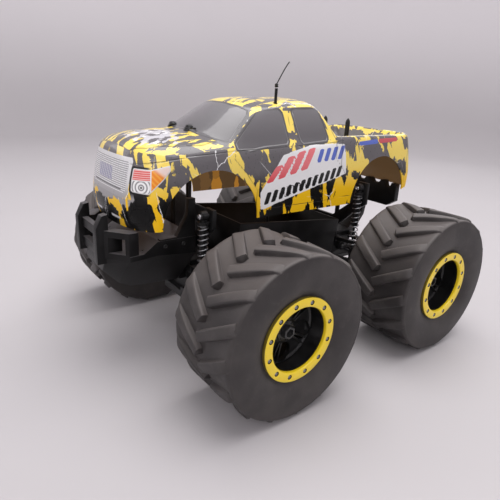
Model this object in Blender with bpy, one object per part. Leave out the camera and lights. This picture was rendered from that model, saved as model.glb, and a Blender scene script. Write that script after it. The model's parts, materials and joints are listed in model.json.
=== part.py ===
"""Radio-controlled monster truck, built from separate pieces.

Metres, +Z up.  The truck faces -Y and its left side is +X.  The meshes are drawn in a truck frame
whose origin is on the ground, half way between the axles; the empty "truck" carries that frame and
moves it along Y so that the whole truck stands centred over the world origin.
"""

import math

import bmesh
import bpy
from mathutils import Matrix, Vector

MM = 0.001

# ---- driving dimensions -------------------------------------------------------------------
HALF_WHEELBASE = 113.9 * MM
TYRE_RADIUS = 82.5 * MM
AXLE_Z = TYRE_RADIUS
WHEEL_MID_X = 144.5 * MM
TREAD_HALF_WIDTH = 41.2 * MM
NOSE_Y = -236.0 * MM
GAP = 0.4 * MM

LUGS_PER_ROW = 16
LUG_HEIGHT = 3.4 * MM
BAR_TURN = math.radians(1.7)

ARM_PIVOT_X = 26.0 * MM
ARM_LENGTH = 54.0 * MM
LOWER_ARM_Z = 71.0 * MM
UPPER_ARM_Z = 97.0 * MM
KINGPIN_X = 91.0 * MM
BUSH_RADIUS = 3.6 * MM
PIN_RADIUS = 1.4 * MM
PIN_HOLE_RADIUS = 2.1 * MM

SHOCK_X = 66.0 * MM
SHOCK_AHEAD = 29.0 * MM
SHOCK_TOP_Z = {"front": 169.0 * MM, "rear": 177.0 * MM}
SPRING_RADIUS = 4.95 * MM
SPRING_WIRE = 0.6 * MM
SPRING_BOTTOM_Z = 100.0 * MM
SPRING_TURNS = 10

LINK_BEHIND = 24.0 * MM
LINK_Z = 94.5 * MM
TIE_ROD_PIVOT_X = 33.0 * MM
HORN_LENGTH = 18.0 * MM

SHELL_THICKNESS = 1.5 * MM
POST_RADIUS = 3.0 * MM
FRONT_POST = (17.3 * MM, -131.6 * MM)
REAR_POST = (20.0 * MM, 100.7 * MM)
ANTENNA = (40.0 * MM, -40.0 * MM)

MID_Y = -(NOSE_Y + HALF_WHEELBASE + TYRE_RADIUS) / 2

CORNERS = (
    ("front_left", 1, -1),
    ("front_right", -1, -1),
    ("rear_left", 1, 1),
    ("rear_right", -1, 1),
)

# name: colour, roughness, metallic
FINISHES = {
    "tyre_rubber": ((0.075, 0.068, 0.066), 0.75, 0.0),
    "black_nylon": ((0.018, 0.018, 0.019), 0.45, 0.0),
    "rim_black": ((0.012, 0.012, 0.013), 0.35, 0.0),
    "ring_yellow": ((0.93, 0.76, 0.12), 0.35, 0.0),
    "shell_yellow": ((0.93, 0.66, 0.05), 0.15, 0.0),
    "spring_steel": ((0.62, 0.62, 0.64), 0.25, 1.0),
    "shaft_steel": ((0.35, 0.35, 0.37), 0.3, 1.0),
    "motor_can": ((0.55, 0.56, 0.58), 0.3, 1.0),
    "battery_wrap": ((0.05, 0.12, 0.35), 0.4, 0.0),
    "switch_red": ((0.6, 0.03, 0.02), 0.4, 0.0),
}


# ---- mesh helpers -------------------------------------------------------------------------
def clear_scene():
    for obj in list(bpy.data.objects):
        bpy.data.objects.remove(obj, do_unlink=True)


def finish(name):
    found = bpy.data.materials.get(name)
    if found:
        return found
    colour, roughness, metallic = FINISHES[name]
    made = bpy.data.materials.new(name)
    made.use_nodes = True
    shader = made.node_tree.nodes["Principled BSDF"]
    shader.inputs["Base Color"].default_value = (*colour, 1)
    shader.inputs["Roughness"].default_value = roughness
    shader.inputs["Metallic"].default_value = metallic
    made.diffuse_color = (*colour, 1)
    return made


def box(low, high):
    bm = bmesh.new()
    bmesh.ops.create_cube(bm, size=1)
    low, high = Vector(low), Vector(high)
    bmesh.ops.scale(bm, vec=high - low, verts=bm.verts)
    bmesh.ops.translate(bm, vec=(low + high) / 2, verts=bm.verts)
    return bm


def skin(rings, closed=False):
    """Faces between rings of the same number of points, with caps on the first and last ring."""
    bm = bmesh.new()
    rows = [[bm.verts.new(point) for point in ring] for ring in rings]
    count = len(rows[0])
    pairs = list(zip(rows, rows[1:]))
    if closed:
        pairs.append((rows[-1], rows[0]))
    for one, two in pairs:
        for k in range(count):
            bm.faces.new((one[k], one[(k + 1) % count], two[(k + 1) % count], two[k]))
    if not closed:
        bm.faces.new(rows[0][::-1])
        bm.faces.new(rows[-1])
    bmesh.ops.recalc_face_normals(bm, faces=bm.faces)
    return bm


def prism(outline, axis, low, high):
    """An outline of pairs, extruded along one axis: x takes (y, z), y takes (x, z), z takes (x, y)."""
    rings = []
    for t in (low, high):
        place = {"x": lambda a, b: (t, a, b), "y": lambda a, b: (a, t, b), "z": lambda a, b: (a, b, t)}[axis]
        rings.append([place(a, b) for a, b in outline])
    return skin(rings)


def turned(profile, axis, centre, steps=16, closed=False):
    """A profile of (distance along the axis, radius) pairs, spun about the axis through centre."""
    rings = []
    for along, radius in profile:
        ring = []
        for k in range(steps):
            turn = 2 * math.pi * (k + 0.5) / steps
            a, b = radius * math.cos(turn), radius * math.sin(turn)
            point = {"x": (along, a, b), "y": (a, along, b), "z": (a, b, along)}[axis]
            ring.append(Vector(centre) + Vector(point))
        rings.append(ring)
    return skin(rings, closed)


def rod(start, end, radius, steps=8):
    """A round bar between two points."""
    start, end = Vector(start), Vector(end)
    turn = (end - start).to_track_quat("Z", "Y").to_matrix()
    angles = [2 * math.pi * k / steps for k in range(steps)]
    circle = [turn @ Vector((radius * math.cos(a), radius * math.sin(a), 0)) for a in angles]
    return skin([[point + at for point in circle] for at in (start, end)])


def mirrored(bm):
    """The shape seen in the plane x = 0."""
    bmesh.ops.scale(bm, vec=(-1, 1, 1), verts=bm.verts)
    bmesh.ops.reverse_faces(bm, faces=bm.faces)
    return bm


def helper(bm):
    mesh = bpy.data.meshes.new("shape")
    bm.to_mesh(mesh)
    bm.free()
    obj = bpy.data.objects.new("shape", mesh)
    bpy.context.scene.collection.objects.link(obj)
    return obj


def combined(parts, cuts=()):
    """One mesh: the union of the parts, less the cuts."""
    base = helper(parts[0])
    others = [(helper(bm), "UNION") for bm in parts[1:]] + [(helper(bm), "DIFFERENCE") for bm in cuts]
    for other, operation in others:
        step = base.modifiers.new(operation.lower(), "BOOLEAN")
        step.operation = operation
        step.solver = "EXACT"
        step.object = other
    bpy.context.view_layer.update()
    graph = bpy.context.evaluated_depsgraph_get()
    mesh = bpy.data.meshes.new_from_object(base.evaluated_get(graph))
    for obj in [base] + [other for other, _ in others]:
        shape = obj.data
        bpy.data.objects.remove(obj)
        bpy.data.meshes.remove(shape)
    return mesh


def tidied(mesh):
    """Welds the tiny slivers that a Boolean leaves, and merges flat neighbours."""
    bm = bmesh.new()
    bm.from_mesh(mesh)
    bmesh.ops.remove_doubles(bm, verts=bm.verts, dist=0.00001)
    bmesh.ops.dissolve_limit(bm, angle_limit=math.radians(0.5), verts=bm.verts, edges=bm.edges)
    bmesh.ops.dissolve_degenerate(bm, dist=0.00001, edges=bm.edges)
    bm.to_mesh(mesh)
    bm.free()
    return mesh


def node(name, colour, parts, cuts=(), pivot=(0, 0, 0), smooth_under=40):
    """A named piece, with its origin at the pivot, in the truck frame."""
    mesh = tidied(combined(parts, cuts))
    mesh.name = name
    mesh.transform(Matrix.Translation(-Vector(pivot)))
    mesh.materials.clear()
    mesh.materials.append(finish(colour))
    mesh.shade_smooth()
    mesh.set_sharp_from_angle(angle=math.radians(smooth_under))
    obj = bpy.data.objects.new(name, mesh)
    bpy.context.scene.collection.objects.link(obj)
    obj.parent = bpy.data.objects["truck"]
    obj.location = pivot
    return obj


def sided(parts, side):
    return parts if side > 0 else [mirrored(bm) for bm in parts]


# ---- wheels -------------------------------------------------------------------------------
def tyre_shape(side, axle_y):
    """A hollow tyre, open towards the rim, with two staggered rows of slanting tread bars."""
    steps = 2 * LUGS_PER_ROW
    slant = 1.6 * 2 * math.pi / steps
    half = TREAD_HALF_WIDTH
    ground = TYRE_RADIUS - LUG_HEIGHT
    # distance from the middle plane, radius, share of the tread's slant
    profile = (
        (half, ground - 1.6 * MM, 0),
        (half - 5 * MM, ground - 0.6 * MM, 0),
        (2.5 * MM, ground, 1),
        (-2.5 * MM, ground, 1),
        (5 * MM - half, ground - 0.6 * MM, 0),
        (-half, ground - 1.6 * MM, 0),
        (-44.0 * MM, 60.0 * MM, 0),
        (-41.0 * MM, 42.8 * MM, 0),
        (-37.5 * MM, 41.2 * MM, 0),
        (-37.5 * MM, 38.2 * MM, 0),
        (-40.5 * MM, 61.0 * MM, 0),
        (-37.0 * MM, 73.5 * MM, 0),
        (37.0 * MM, 73.5 * MM, 0),
        (40.5 * MM, 61.0 * MM, 0),
        (37.5 * MM, 38.2 * MM, 0),
        (37.5 * MM, 41.2 * MM, 0),
        (41.0 * MM, 42.8 * MM, 0),
        (44.0 * MM, 60.0 * MM, 0),
    )
    rings = []
    for along, radius, share in profile:
        turns = [2 * math.pi * k / steps + slant * share for k in range(steps)]
        x = side * (WHEEL_MID_X + along)
        rings.append([(x, radius * math.cos(t), radius * math.sin(t)) for t in turns])
    bm = skin(rings, closed=True)
    bm.faces.ensure_lookup_table()
    outer_row = 1 * steps
    inner_row = 3 * steps
    bars = [bm.faces[outer_row + k] for k in range(0, steps, 2)]
    bars += [bm.faces[inner_row + k] for k in range(1, steps, 2)]
    bmesh.ops.inset_individual(bm, faces=bars, thickness=1.2 * MM)
    for face in bars:
        for vert in face.verts:
            vert.co += Vector((0, vert.co.y, vert.co.z)).normalized() * LUG_HEIGHT
    stand_on_a_bar(bm)
    bmesh.ops.translate(bm, vec=(0, axle_y, AXLE_Z), verts=bm.verts)
    return bm


def stand_on_a_bar(bm):
    """Turns the wheel until a tread bar is underneath, with its lowest corner at the tyre's radius."""
    outermost = max(bm.verts, key=lambda vert: (round(vert.co.yz.length, 6), -vert.co.z))
    angle = math.atan2(outermost.co.z, outermost.co.y)
    turn = Matrix.Rotation(-math.pi / 2 - angle + BAR_TURN, 3, "X")
    bmesh.ops.rotate(bm, cent=(0, 0, 0), matrix=turn, verts=bm.verts)
    grow = TYRE_RADIUS / -min(vert.co.z for vert in bm.verts)
    for vert in bm.verts:
        if vert.co.yz.length > TYRE_RADIUS - 1.5 * MM:
            vert.co.y *= grow
            vert.co.z *= grow


def wheel(corner, side, axle_y):
    """Tyre, rim with its spokes and stub axle, and the beadlock ring outside."""
    hub = (WHEEL_MID_X, axle_y, AXLE_Z)
    centre = (0, axle_y, AXLE_Z)
    pivot = (side * WHEEL_MID_X, axle_y, AXLE_Z)
    node(corner + "_tyre", "tyre_rubber", [tyre_shape(side, axle_y)], pivot=pivot)

    barrel = (
        (-38.2 * MM, 37.5 * MM),
        (37.5 * MM, 37.5 * MM),
        (37.5 * MM, 32.5 * MM),
        (33.0 * MM, 34.4 * MM),
        (-38.2 * MM, 34.4 * MM),
    )
    parts = [turned(barrel, "x", hub, steps=24, closed=True)]
    for k in range(5):
        turn = 2 * math.pi * k / 5 + math.pi / 2
        spoke = box((13 * MM, -5.5 * MM, 6 * MM), (19 * MM, 5.5 * MM, 35.5 * MM))
        bmesh.ops.rotate(spoke, cent=(0, 0, 0), matrix=Matrix.Rotation(turn, 3, "X"), verts=spoke.verts)
        bmesh.ops.translate(spoke, vec=hub, verts=spoke.verts)
        parts.append(spoke)
    stub_end = KINGPIN_X - WHEEL_MID_X
    parts.append(turned(((10 * MM, 10 * MM), (21 * MM, 10 * MM)), "x", hub, steps=10))
    parts.append(turned(((20 * MM, 6.3 * MM), (26.5 * MM, 6.3 * MM)), "x", hub, steps=6))
    parts.append(turned(((stub_end, 4 * MM), (12 * MM, 4 * MM)), "x", hub, steps=8))
    socket = [turned(((22 * MM, 4.2 * MM), (28 * MM, 4.2 * MM)), "x", hub, steps=6)]
    node(corner + "_rim", "rim_black", sided(parts, side), sided(socket, side), pivot)

    ring = ((37.9 * MM, 40.1 * MM), (41.0 * MM, 40.1 * MM), (41.0 * MM, 31.5 * MM), (37.9 * MM, 31.5 * MM))
    parts = [turned([(WHEEL_MID_X + x, r) for x, r in ring], "x", centre, steps=24, closed=True)]
    node(corner + "_beadlock_ring", "ring_yellow", sided(parts, side), pivot=pivot)


# ---- suspension ---------------------------------------------------------------------------
def arm(name, side, axle_y, z, spread, shock_boss):
    """A wishbone: two legs with pin bosses inboard, and a fork with its own pin outboard."""
    outer_x = ARM_PIVOT_X + ARM_LENGTH
    leg = spread + 3.2 * MM
    half = [
        (ARM_PIVOT_X, leg),
        (outer_x - 6 * MM, 9.5 * MM),
        (outer_x, 9.5 * MM),
        (outer_x, 6 * MM),
        (outer_x - 6.5 * MM, 6 * MM),
    ]
    inner = [(outer_x - 20 * MM, 4.5 * MM), (ARM_PIVOT_X, leg - 6.4 * MM)]
    outline = half + [(x, -y) for x, y in half[::-1]] + [(x, -y) for x, y in inner[::-1]] + inner
    outline = [(x, axle_y + y) for x, y in outline]
    parts = [prism(outline, "z", z - 2.2 * MM, z + 2.2 * MM)]
    for way in (-1, 1):
        inboard = sorted((way * (spread - 3.5 * MM), way * (spread + 3.5 * MM)))
        outboard = sorted((way * 6 * MM, way * 9.5 * MM))
        for x, reach in ((ARM_PIVOT_X, inboard), (outer_x, outboard)):
            parts.append(turned([(y, BUSH_RADIUS) for y in reach], "y", (x, axle_y, z), steps=8))
    parts.append(rod((outer_x, axle_y - 9 * MM, z), (outer_x, axle_y + 9 * MM, z), PIN_RADIUS, 6))
    if shock_boss:
        reach = (axle_y - SHOCK_AHEAD + 3.4 * MM, axle_y - 9 * MM)
        parts.append(rod((SHOCK_X, reach[0], z), (SHOCK_X, reach[1], z), 2.8 * MM))
    hole_end = leg + 5 * MM
    hole = rod(
        (ARM_PIVOT_X, axle_y - hole_end, z), (ARM_PIVOT_X, axle_y + hole_end, z), PIN_HOLE_RADIUS
    )
    pivot = (side * ARM_PIVOT_X, axle_y, z)
    node(name, "black_nylon", sided(parts, side), sided([hole], side), pivot)


def carrier_ends(axle_y, x_plate):
    """The two tongues that sit in the arms' forks, and the holes for the forks' pins."""
    outer_x = ARM_PIVOT_X + ARM_LENGTH
    parts = []
    holes = []
    for z in (LOWER_ARM_Z, UPPER_ARM_Z):
        ends = ((-5.4 * MM, BUSH_RADIUS), (5.4 * MM, BUSH_RADIUS))
        parts.append(turned(ends, "y", (outer_x, axle_y, z), steps=8))
        parts.append(
            box((outer_x, axle_y - 5.4 * MM, z - 3 * MM), (x_plate + 1 * MM, axle_y + 5.4 * MM, z + 3 * MM))
        )
        holes.append(rod((outer_x, axle_y - 7 * MM, z), (outer_x, axle_y + 7 * MM, z), PIN_HOLE_RADIUS))
    return parts, holes


def rear_upright(corner, side, axle_y):
    plate_x = 84.2 * MM
    parts, holes = carrier_ends(axle_y, plate_x)
    low, high = LOWER_ARM_Z - 3.4 * MM, UPPER_ARM_Z + 3.4 * MM
    parts.append(box((plate_x, axle_y - 8 * MM, low), (plate_x + 4 * MM, axle_y + 8 * MM, high)))
    parts.append(turned(((plate_x, 11 * MM), (98 * MM, 11 * MM)), "x", (0, axle_y, AXLE_Z), steps=12))
    holes.append(turned(((plate_x - 3 * MM, 6.5 * MM), (89 * MM, 6.5 * MM)), "x", (0, axle_y, AXLE_Z), 8))
    holes.append(turned(((88 * MM, 4.8 * MM), (100 * MM, 4.8 * MM)), "x", (0, axle_y, AXLE_Z), 8))
    pivot = (side * (ARM_PIVOT_X + ARM_LENGTH), axle_y, LOWER_ARM_Z)
    node(corner + "_upright", "black_nylon", sided(parts, side), sided(holes, side), pivot)


def front_hub_carrier(corner, side, axle_y):
    """A C-shaped carrier; the steering knuckle turns between its two ears."""
    plate_x = 84.2 * MM
    parts, holes = carrier_ends(axle_y, plate_x)
    low, high = LOWER_ARM_Z - 3.4 * MM, UPPER_ARM_Z + 3.4 * MM
    parts.append(box((plate_x, axle_y - 8 * MM, low), (86.6 * MM, axle_y + 8 * MM, high)))
    for z0, z1, pin0, pin1 in ((low, low + 4 * MM, 0, 4 * MM), (high - 4 * MM, high, -4 * MM, 0)):
        parts.append(box((plate_x, axle_y - 6 * MM, z0), (96 * MM, axle_y + 6 * MM, z1)))
        inner = z1 if pin1 > 0 else z0
        foot = (KINGPIN_X, axle_y, inner + pin0 - 1 * MM)
        head = (KINGPIN_X, axle_y, inner + pin1 + 1 * MM)
        parts.append(rod(foot, head, 1.6 * MM))
    holes.append(turned(((80 * MM, 6.3 * MM), (88 * MM, 6.3 * MM)), "x", (0, axle_y, AXLE_Z), 8))
    pivot = (side * (ARM_PIVOT_X + ARM_LENGTH), axle_y, LOWER_ARM_Z)
    node(corner + "_hub_carrier", "black_nylon", sided(parts, side), sided(holes, side), pivot)


def front_knuckle(corner, side, axle_y):
    """Bearing housing on the kingpin, with the steering arm and its ball stud behind."""
    low, high = LOWER_ARM_Z + 1.1 * MM, UPPER_ARM_Z - 1.1 * MM
    stud_y = axle_y + LINK_BEHIND
    parts = [
        turned(((KINGPIN_X, 9 * MM), (100 * MM, 9 * MM)), "x", (0, axle_y, AXLE_Z), steps=12),
        turned(((low, 4 * MM), (high, 4 * MM)), "z", (KINGPIN_X, axle_y, 0), steps=10),
    ]
    outline = ((91, 6), (97, 6), (92, 27.5), (84.5, 27.5), (89, 14))
    parts.append(prism([(x * MM, axle_y + y * MM) for x, y in outline], "z", 87 * MM, 90.4 * MM))
    stud_x = TIE_ROD_PIVOT_X + ARM_LENGTH
    parts.append(rod((stud_x, stud_y, 89.5 * MM), (stud_x, stud_y, LINK_Z - 3.0 * MM), 1.3 * MM))
    holes = [
        turned(((85 * MM, 4.8 * MM), (102 * MM, 4.8 * MM)), "x", (0, axle_y, AXLE_Z), 8),
        rod((KINGPIN_X, axle_y, low - 1 * MM), (KINGPIN_X, axle_y, low + 5 * MM), 2.3 * MM),
        rod((KINGPIN_X, axle_y, high - 5 * MM), (KINGPIN_X, axle_y, high + 1 * MM), 2.3 * MM),
    ]
    pivot = (side * KINGPIN_X, axle_y, AXLE_Z)
    node(corner + "_knuckle", "black_nylon", sided(parts, side), sided(holes, side), pivot)


def drive_shaft(corner, side, axle_y):
    """A shaft with a ball at each end, from the gearbox's cup to the wheel's."""
    ends = (ARM_PIVOT_X, ARM_PIVOT_X + 58 * MM)
    profile = []
    for x in ends:
        profile += [(x - 2.8 * MM, 1.6 * MM), (x - 1.2 * MM, 3.2 * MM), (x + 1.2 * MM, 3.2 * MM)]
        profile += [(x + 2.8 * MM, 2.0 * MM)]
    pivot = (side * ARM_PIVOT_X, axle_y, AXLE_Z)
    shape = turned(profile, "x", (0, axle_y, AXLE_Z), steps=8)
    node(corner + "_drive_shaft", "shaft_steel", sided([shape], side), pivot=pivot)


def shock(corner, side, axle_y, top_z):
    """Body hung from the tower, rod that slides into it, and the coil spring round both."""
    y = axle_y - SHOCK_AHEAD
    axis = (SHOCK_X, y, 0)
    seat_z = top_z - 8 * MM
    body = [
        turned(((128 * MM, 4 * MM), (top_z - 4 * MM, 4 * MM)), "z", axis, 10),
        turned(((seat_z - 0.5 * MM, 5.8 * MM), (seat_z + 2 * MM, 5.8 * MM)), "z", axis, 12),
        turned(((-3 * MM, 5 * MM), (3 * MM, 5 * MM)), "y", (SHOCK_X, y, top_z), 12),
    ]
    bores = [
        rod((SHOCK_X, y, 126 * MM), (SHOCK_X, y, 156 * MM), 2.3 * MM),
        rod((SHOCK_X, y - 5 * MM, top_z), (SHOCK_X, y + 5 * MM, top_z), PIN_HOLE_RADIUS),
    ]
    top = (side * SHOCK_X, y, top_z)
    node(corner + "_shock_body", "black_nylon", sided(body, side), sided(bores, side), top)

    eye = (-2.8 * MM, 4.5 * MM), (2.8 * MM, 4.5 * MM)
    stem = [
        turned(eye, "y", (SHOCK_X, y, LOWER_ARM_Z), 12),
        rod((SHOCK_X, y, LOWER_ARM_Z), (SHOCK_X, y, 140 * MM), 1.5 * MM, 6),
        rod((SHOCK_X, y, LOWER_ARM_Z), (SHOCK_X, y, SPRING_BOTTOM_Z - 2.5 * MM), 2.6 * MM),
        turned(((96.8 * MM, 5.8 * MM), (SPRING_BOTTOM_Z - 0.6 * MM, 5.8 * MM)), "z", axis, 12),
    ]
    foot = (side * SHOCK_X, y, LOWER_ARM_Z)
    node(corner + "_shock_rod", "black_nylon", sided(stem, side), pivot=foot)

    spring = coil(axis, SPRING_BOTTOM_Z, seat_z - 0.9 * MM)
    node(corner + "_spring", "spring_steel", sided([spring], side), pivot=top, smooth_under=80)


def coil(axis, low, high):
    """A helical wire, three-sided, with flat ends."""
    steps = 8 * SPRING_TURNS
    rise = (high - low - 2 * SPRING_WIRE) / steps
    rings = []
    for k in range(steps + 1):
        turn = 2 * math.pi * k / 8
        z = low + SPRING_WIRE + rise * k
        ring = []
        for corner in range(3):
            lean = 2 * math.pi * corner / 3
            out = SPRING_RADIUS + SPRING_WIRE * math.cos(lean)
            ring.append(
                (
                    axis[0] + out * math.cos(turn),
                    axis[1] + out * math.sin(turn),
                    z + SPRING_WIRE * math.sin(lean),
                )
            )
        rings.append(ring)
    return skin(rings)


# ---- chassis ------------------------------------------------------------------------------
TUB_Y = (-86.0 * MM, 72.0 * MM)
TUB_BOTTOM_Z = 64.0 * MM
TUB_RIM_Z = (149.0 * MM, 134.0 * MM)
WALL = 2.5 * MM
SHAFT_Z = 74.0 * MM
BASE_TOP_Z = 70.0 * MM


def tub():
    """A trough whose rim slopes down towards the tail, open on top."""
    outer = []
    inner = []
    for y, rim in zip(TUB_Y, TUB_RIM_Z):
        inward = WALL if y < 0 else -WALL
        section = ((40 * MM, TUB_BOTTOM_Z), (50 * MM, rim), (-50 * MM, rim), (-40 * MM, TUB_BOTTOM_Z))
        outer.append([(x, y, z) for x, z in section])
        floor, top = TUB_BOTTOM_Z + WALL, rim + 3 * MM
        section = ((37.2 * MM, floor), (47.8 * MM, top), (-47.8 * MM, top), (-37.2 * MM, floor))
        inner.append([(x, y + inward, z) for x, z in section])
    socket = box((35 * MM, -45 * MM, 112 * MM), (46 * MM, -35 * MM, 118 * MM))
    cuts = [skin(inner)]
    cuts.append(box((-37 * MM, -47 * MM, 60 * MM), (-7 * MM, 57 * MM, 70 * MM)))
    cuts.append(rod((0, -100 * MM, SHAFT_Z), (0, 100 * MM, SHAFT_Z), 4 * MM))
    cuts.append(box((-15 * MM, -90 * MM, 93 * MM), (15 * MM, -80 * MM, 104 * MM)))
    hollowed = combined([skin(outer)], cuts)
    shell = bmesh.new()
    shell.from_mesh(hollowed)
    node("chassis_tub", "black_nylon", [shell, socket])


def tail_bumper():
    """A notched plate across the tail, on a bracket that rises from the rear gearbox case."""
    half = (
        (0, 170), (5, 170), (9, 175.5), (17, 175.5), (22, 170), (31, 170), (36, 176), (42, 176),
        (45, 168), (51, 167.5), (53.5, 174), (61.5, 173), (62, 150), (50, 142), (0, 142),
    )
    outline = [(x * MM, z * MM) for x, z in half]
    outline += [(-x, z) for x, z in outline[-2:0:-1]]
    bracket = ((132, 84), (142, 84), (168, 120), (173, 150), (167.5, 150), (161, 124), (132, 98))
    return [
        prism(outline, "y", 167 * MM, 175 * MM),
        prism([(y * MM, z * MM) for y, z in bracket], "x", -13 * MM, 13 * MM),
    ]


def bulkhead(name, axle_y, top_z, posts, post_top, extra=()):
    """Gearbox case, arm mounts with their hinge pins, shock tower and body posts in one moulding."""
    front = axle_y - 27.6 * MM
    back = axle_y + 27.6 * MM
    if axle_y > 0:
        front = TUB_Y[1] + 0.3 * MM
    parts = [
        box((-20 * MM, front, 62 * MM), (20 * MM, back, BASE_TOP_Z)),
        box((-20 * MM, axle_y - 20.6 * MM, 66 * MM), (20 * MM, axle_y + 20.6 * MM, 104 * MM)),
    ]
    cuts = []
    for side in (-1, 1):
        for z, offset, half in ((LOWER_ARM_Z, 26.1 * MM, 1.5 * MM), (UPPER_ARM_Z, 19.35 * MM, 1.25 * MM)):
            for way in (-1, 1):
                y = axle_y + way * offset
                ends = sorted((side * 18 * MM, side * 29.5 * MM))
                parts.append(box((ends[0], y - half, z - 3.8 * MM), (ends[1], y + half, z + 3.8 * MM)))
            x = side * ARM_PIVOT_X
            reach = offset + half
            parts.append(rod((x, axle_y - reach, z), (x, axle_y + reach, z), PIN_RADIUS, 6))
        cup = ((side * 18 * MM, 7 * MM), (side * 25 * MM, 7 * MM))
        parts.append(turned(sorted(cup), "x", (0, axle_y, AXLE_Z), 12))
        mouth = ((side * 21 * MM, 4.6 * MM), (side * 27 * MM, 4.6 * MM))
        cuts.append(turned(sorted(mouth), "x", (0, axle_y, AXLE_Z), 10))
    half = (
        (22, 101), (30, 118), (62, 148), (73, 156), (73, top_z / MM + 6), (58, top_z / MM + 6),
        (52, 156), (20, 130),
    )
    outline = [(x * MM, z * MM) for x, z in half]
    outline += [(-x, z) for x, z in outline[::-1]]
    face = axle_y - SHOCK_AHEAD + 6.5 * MM
    parts.append(prism(outline, "y", face, face + 4 * MM))
    for side in (-1, 1):
        x = side * SHOCK_X
        parts.append(rod((x, face - 10.5 * MM, top_z), (x, face + 1 * MM, top_z), PIN_RADIUS, 6))
        foot = (side * posts[0], posts[1], 101 * MM)
        parts.append(rod(foot, (side * posts[0], posts[1], post_top), POST_RADIUS, 10))
    parts.extend(extra)
    node(name, "black_nylon", parts, cuts)


def bumper():
    """Skid plate, its raised wings, and ahead of it a bull bar with a slanting frame on each side."""
    rear_y = -HALF_WHEELBASE - 27.9 * MM
    rings = (
        ((21, -229, 113), (27.5, -229, 124), (27.5, -229, 133)),
        ((18, -212, 95), (50, -212, 128), (50, -212, 133)),
        ((14, -198, 87), (50.4, -198, 129), (50.4, -198, 134)),
        ((13, -184, 85), (50, -184, 130), (50, -184, 144)),
        ((12, rear_y / MM, 82), (50, rear_y / MM, 126), (50, rear_y / MM, 144)),
    )
    mesh_rings = []
    for ring in rings:
        near = [Vector(point) * MM for point in ring]
        mesh_rings.append(near + [Vector((-p.x, p.y, p.z)) for p in near[::-1]])
    hull = skin(mesh_rings)
    bmesh.ops.triangulate(hull, faces=hull.faces)
    parts = [hull]
    parts.append(box((-17 * MM, rear_y - 1 * MM, 84 * MM), (17 * MM, -HALF_WHEELBASE - 21 * MM, 100 * MM)))
    for low, high in ((128, 137), (148, 157)):
        parts.append(box((-24 * MM, -232 * MM, low * MM), (24 * MM, -226 * MM, high * MM)))
    cuts = []
    post = [(NOSE_Y / MM, 123), (NOSE_Y / MM, 158), (-230, 170), (-224.5, 171), (-223.5, 123)]
    plate = [(-181, 139), (-181, 145.3), (-163, 145.8), (-151, 167), (-150, 183), (-142.5, 183), (-142.5, 139)]
    for side in (-1, 1):
        ends = sorted((side * 21 * MM, side * 29.5 * MM))
        parts.append(prism([(y * MM, z * MM) for y, z in post], "x", *ends))
        frame = [(28.2, -230), (49.3, -212.5), (49.3, -203), (43.5, -203), (27.2, -217)]
        window = [(32.5, -236), (47.3, -222), (43.3, -195), (32.5, -205)]
        parts.append(prism([(side * x * MM, y * MM) for x, y in frame], "z", 128.5 * MM, 156 * MM))
        cuts.append(prism([(side * x * MM, y * MM) for x, y in window], "z", 134.5 * MM, 150 * MM))
        ends = sorted((side * 43.6 * MM, side * 49.6 * MM))
        parts.append(prism([(y * MM, z * MM) for y, z in plate], "x", *ends))
    node("front_bumper", "black_nylon", parts, cuts)


# ---- steering, drive and electrics ----------------------------------------------------------
def steering(axle_y):
    link_y = axle_y + LINK_BEHIND
    low = (-29.5 * MM, link_y - 2.4 * MM, LINK_Z - 2 * MM)
    high = (29.5 * MM, link_y + 2.4 * MM, LINK_Z + 2 * MM)
    link = box(low, high)
    node("steering_link", "black_nylon", [link], pivot=(0, link_y, LINK_Z))
    for name, side in (("left", 1), ("right", -1)):
        inner = TIE_ROD_PIVOT_X
        outer = TIE_ROD_PIVOT_X + ARM_LENGTH
        profile = []
        for x in (inner, outer):
            profile += [(x - 2.6 * MM, 1.6 * MM), (x - 1.2 * MM, 2.5 * MM)]
            profile += [(x + 1.2 * MM, 2.5 * MM), (x + 2.6 * MM, 1.6 * MM)]
        shape = turned(profile, "x", (0, link_y, LINK_Z), 8)
        pivot = (side * inner, link_y, LINK_Z)
        node("tie_rod_" + name, "shaft_steel", sided([shape], side), pivot=pivot)
    horn_y = link_y + HORN_LENGTH
    base = LINK_Z + 2.5 * MM
    horn = [
        turned(((base, 4 * MM), (base + 3 * MM, 4 * MM)), "z", (0, horn_y, 0), 10),
        box((-2 * MM, link_y - 2 * MM, base), (2 * MM, horn_y, base + 2.4 * MM)),
    ]
    node("servo_horn", "black_nylon", horn, pivot=(0, horn_y, base))
    servo = [
        box((-20 * MM, horn_y - 10 * MM, 79 * MM), (20 * MM, horn_y + 10 * MM, base - 3 * MM)),
        turned(((base - 4 * MM, 3 * MM), (base - GAP, 3 * MM)), "z", (0, horn_y, 0), 10),
    ]
    for side in (-1, 1):
        ends = sorted((side * 19 * MM, side * 26 * MM))
        servo.append(box((ends[0], horn_y - 9 * MM, 86 * MM), (ends[1], horn_y + 9 * MM, 88.5 * MM)))
    node("steering_servo", "black_nylon", servo)


def drive_line():
    ends = (-HALF_WHEELBASE + 21 * MM, HALF_WHEELBASE - 21 * MM)
    node("centre_shaft", "shaft_steel", [rod((0, ends[0], SHAFT_Z), (0, ends[1], SHAFT_Z), 2.5 * MM)])
    can = [
        turned(((22 * MM, 13.5 * MM), (62 * MM, 13.5 * MM)), "y", (21 * MM, 0, 84 * MM), 18),
        turned(((18 * MM, 4 * MM), (66 * MM, 4 * MM)), "y", (21 * MM, 0, 84 * MM), 10),
    ]
    node("drive_motor", "motor_can", can)


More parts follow.
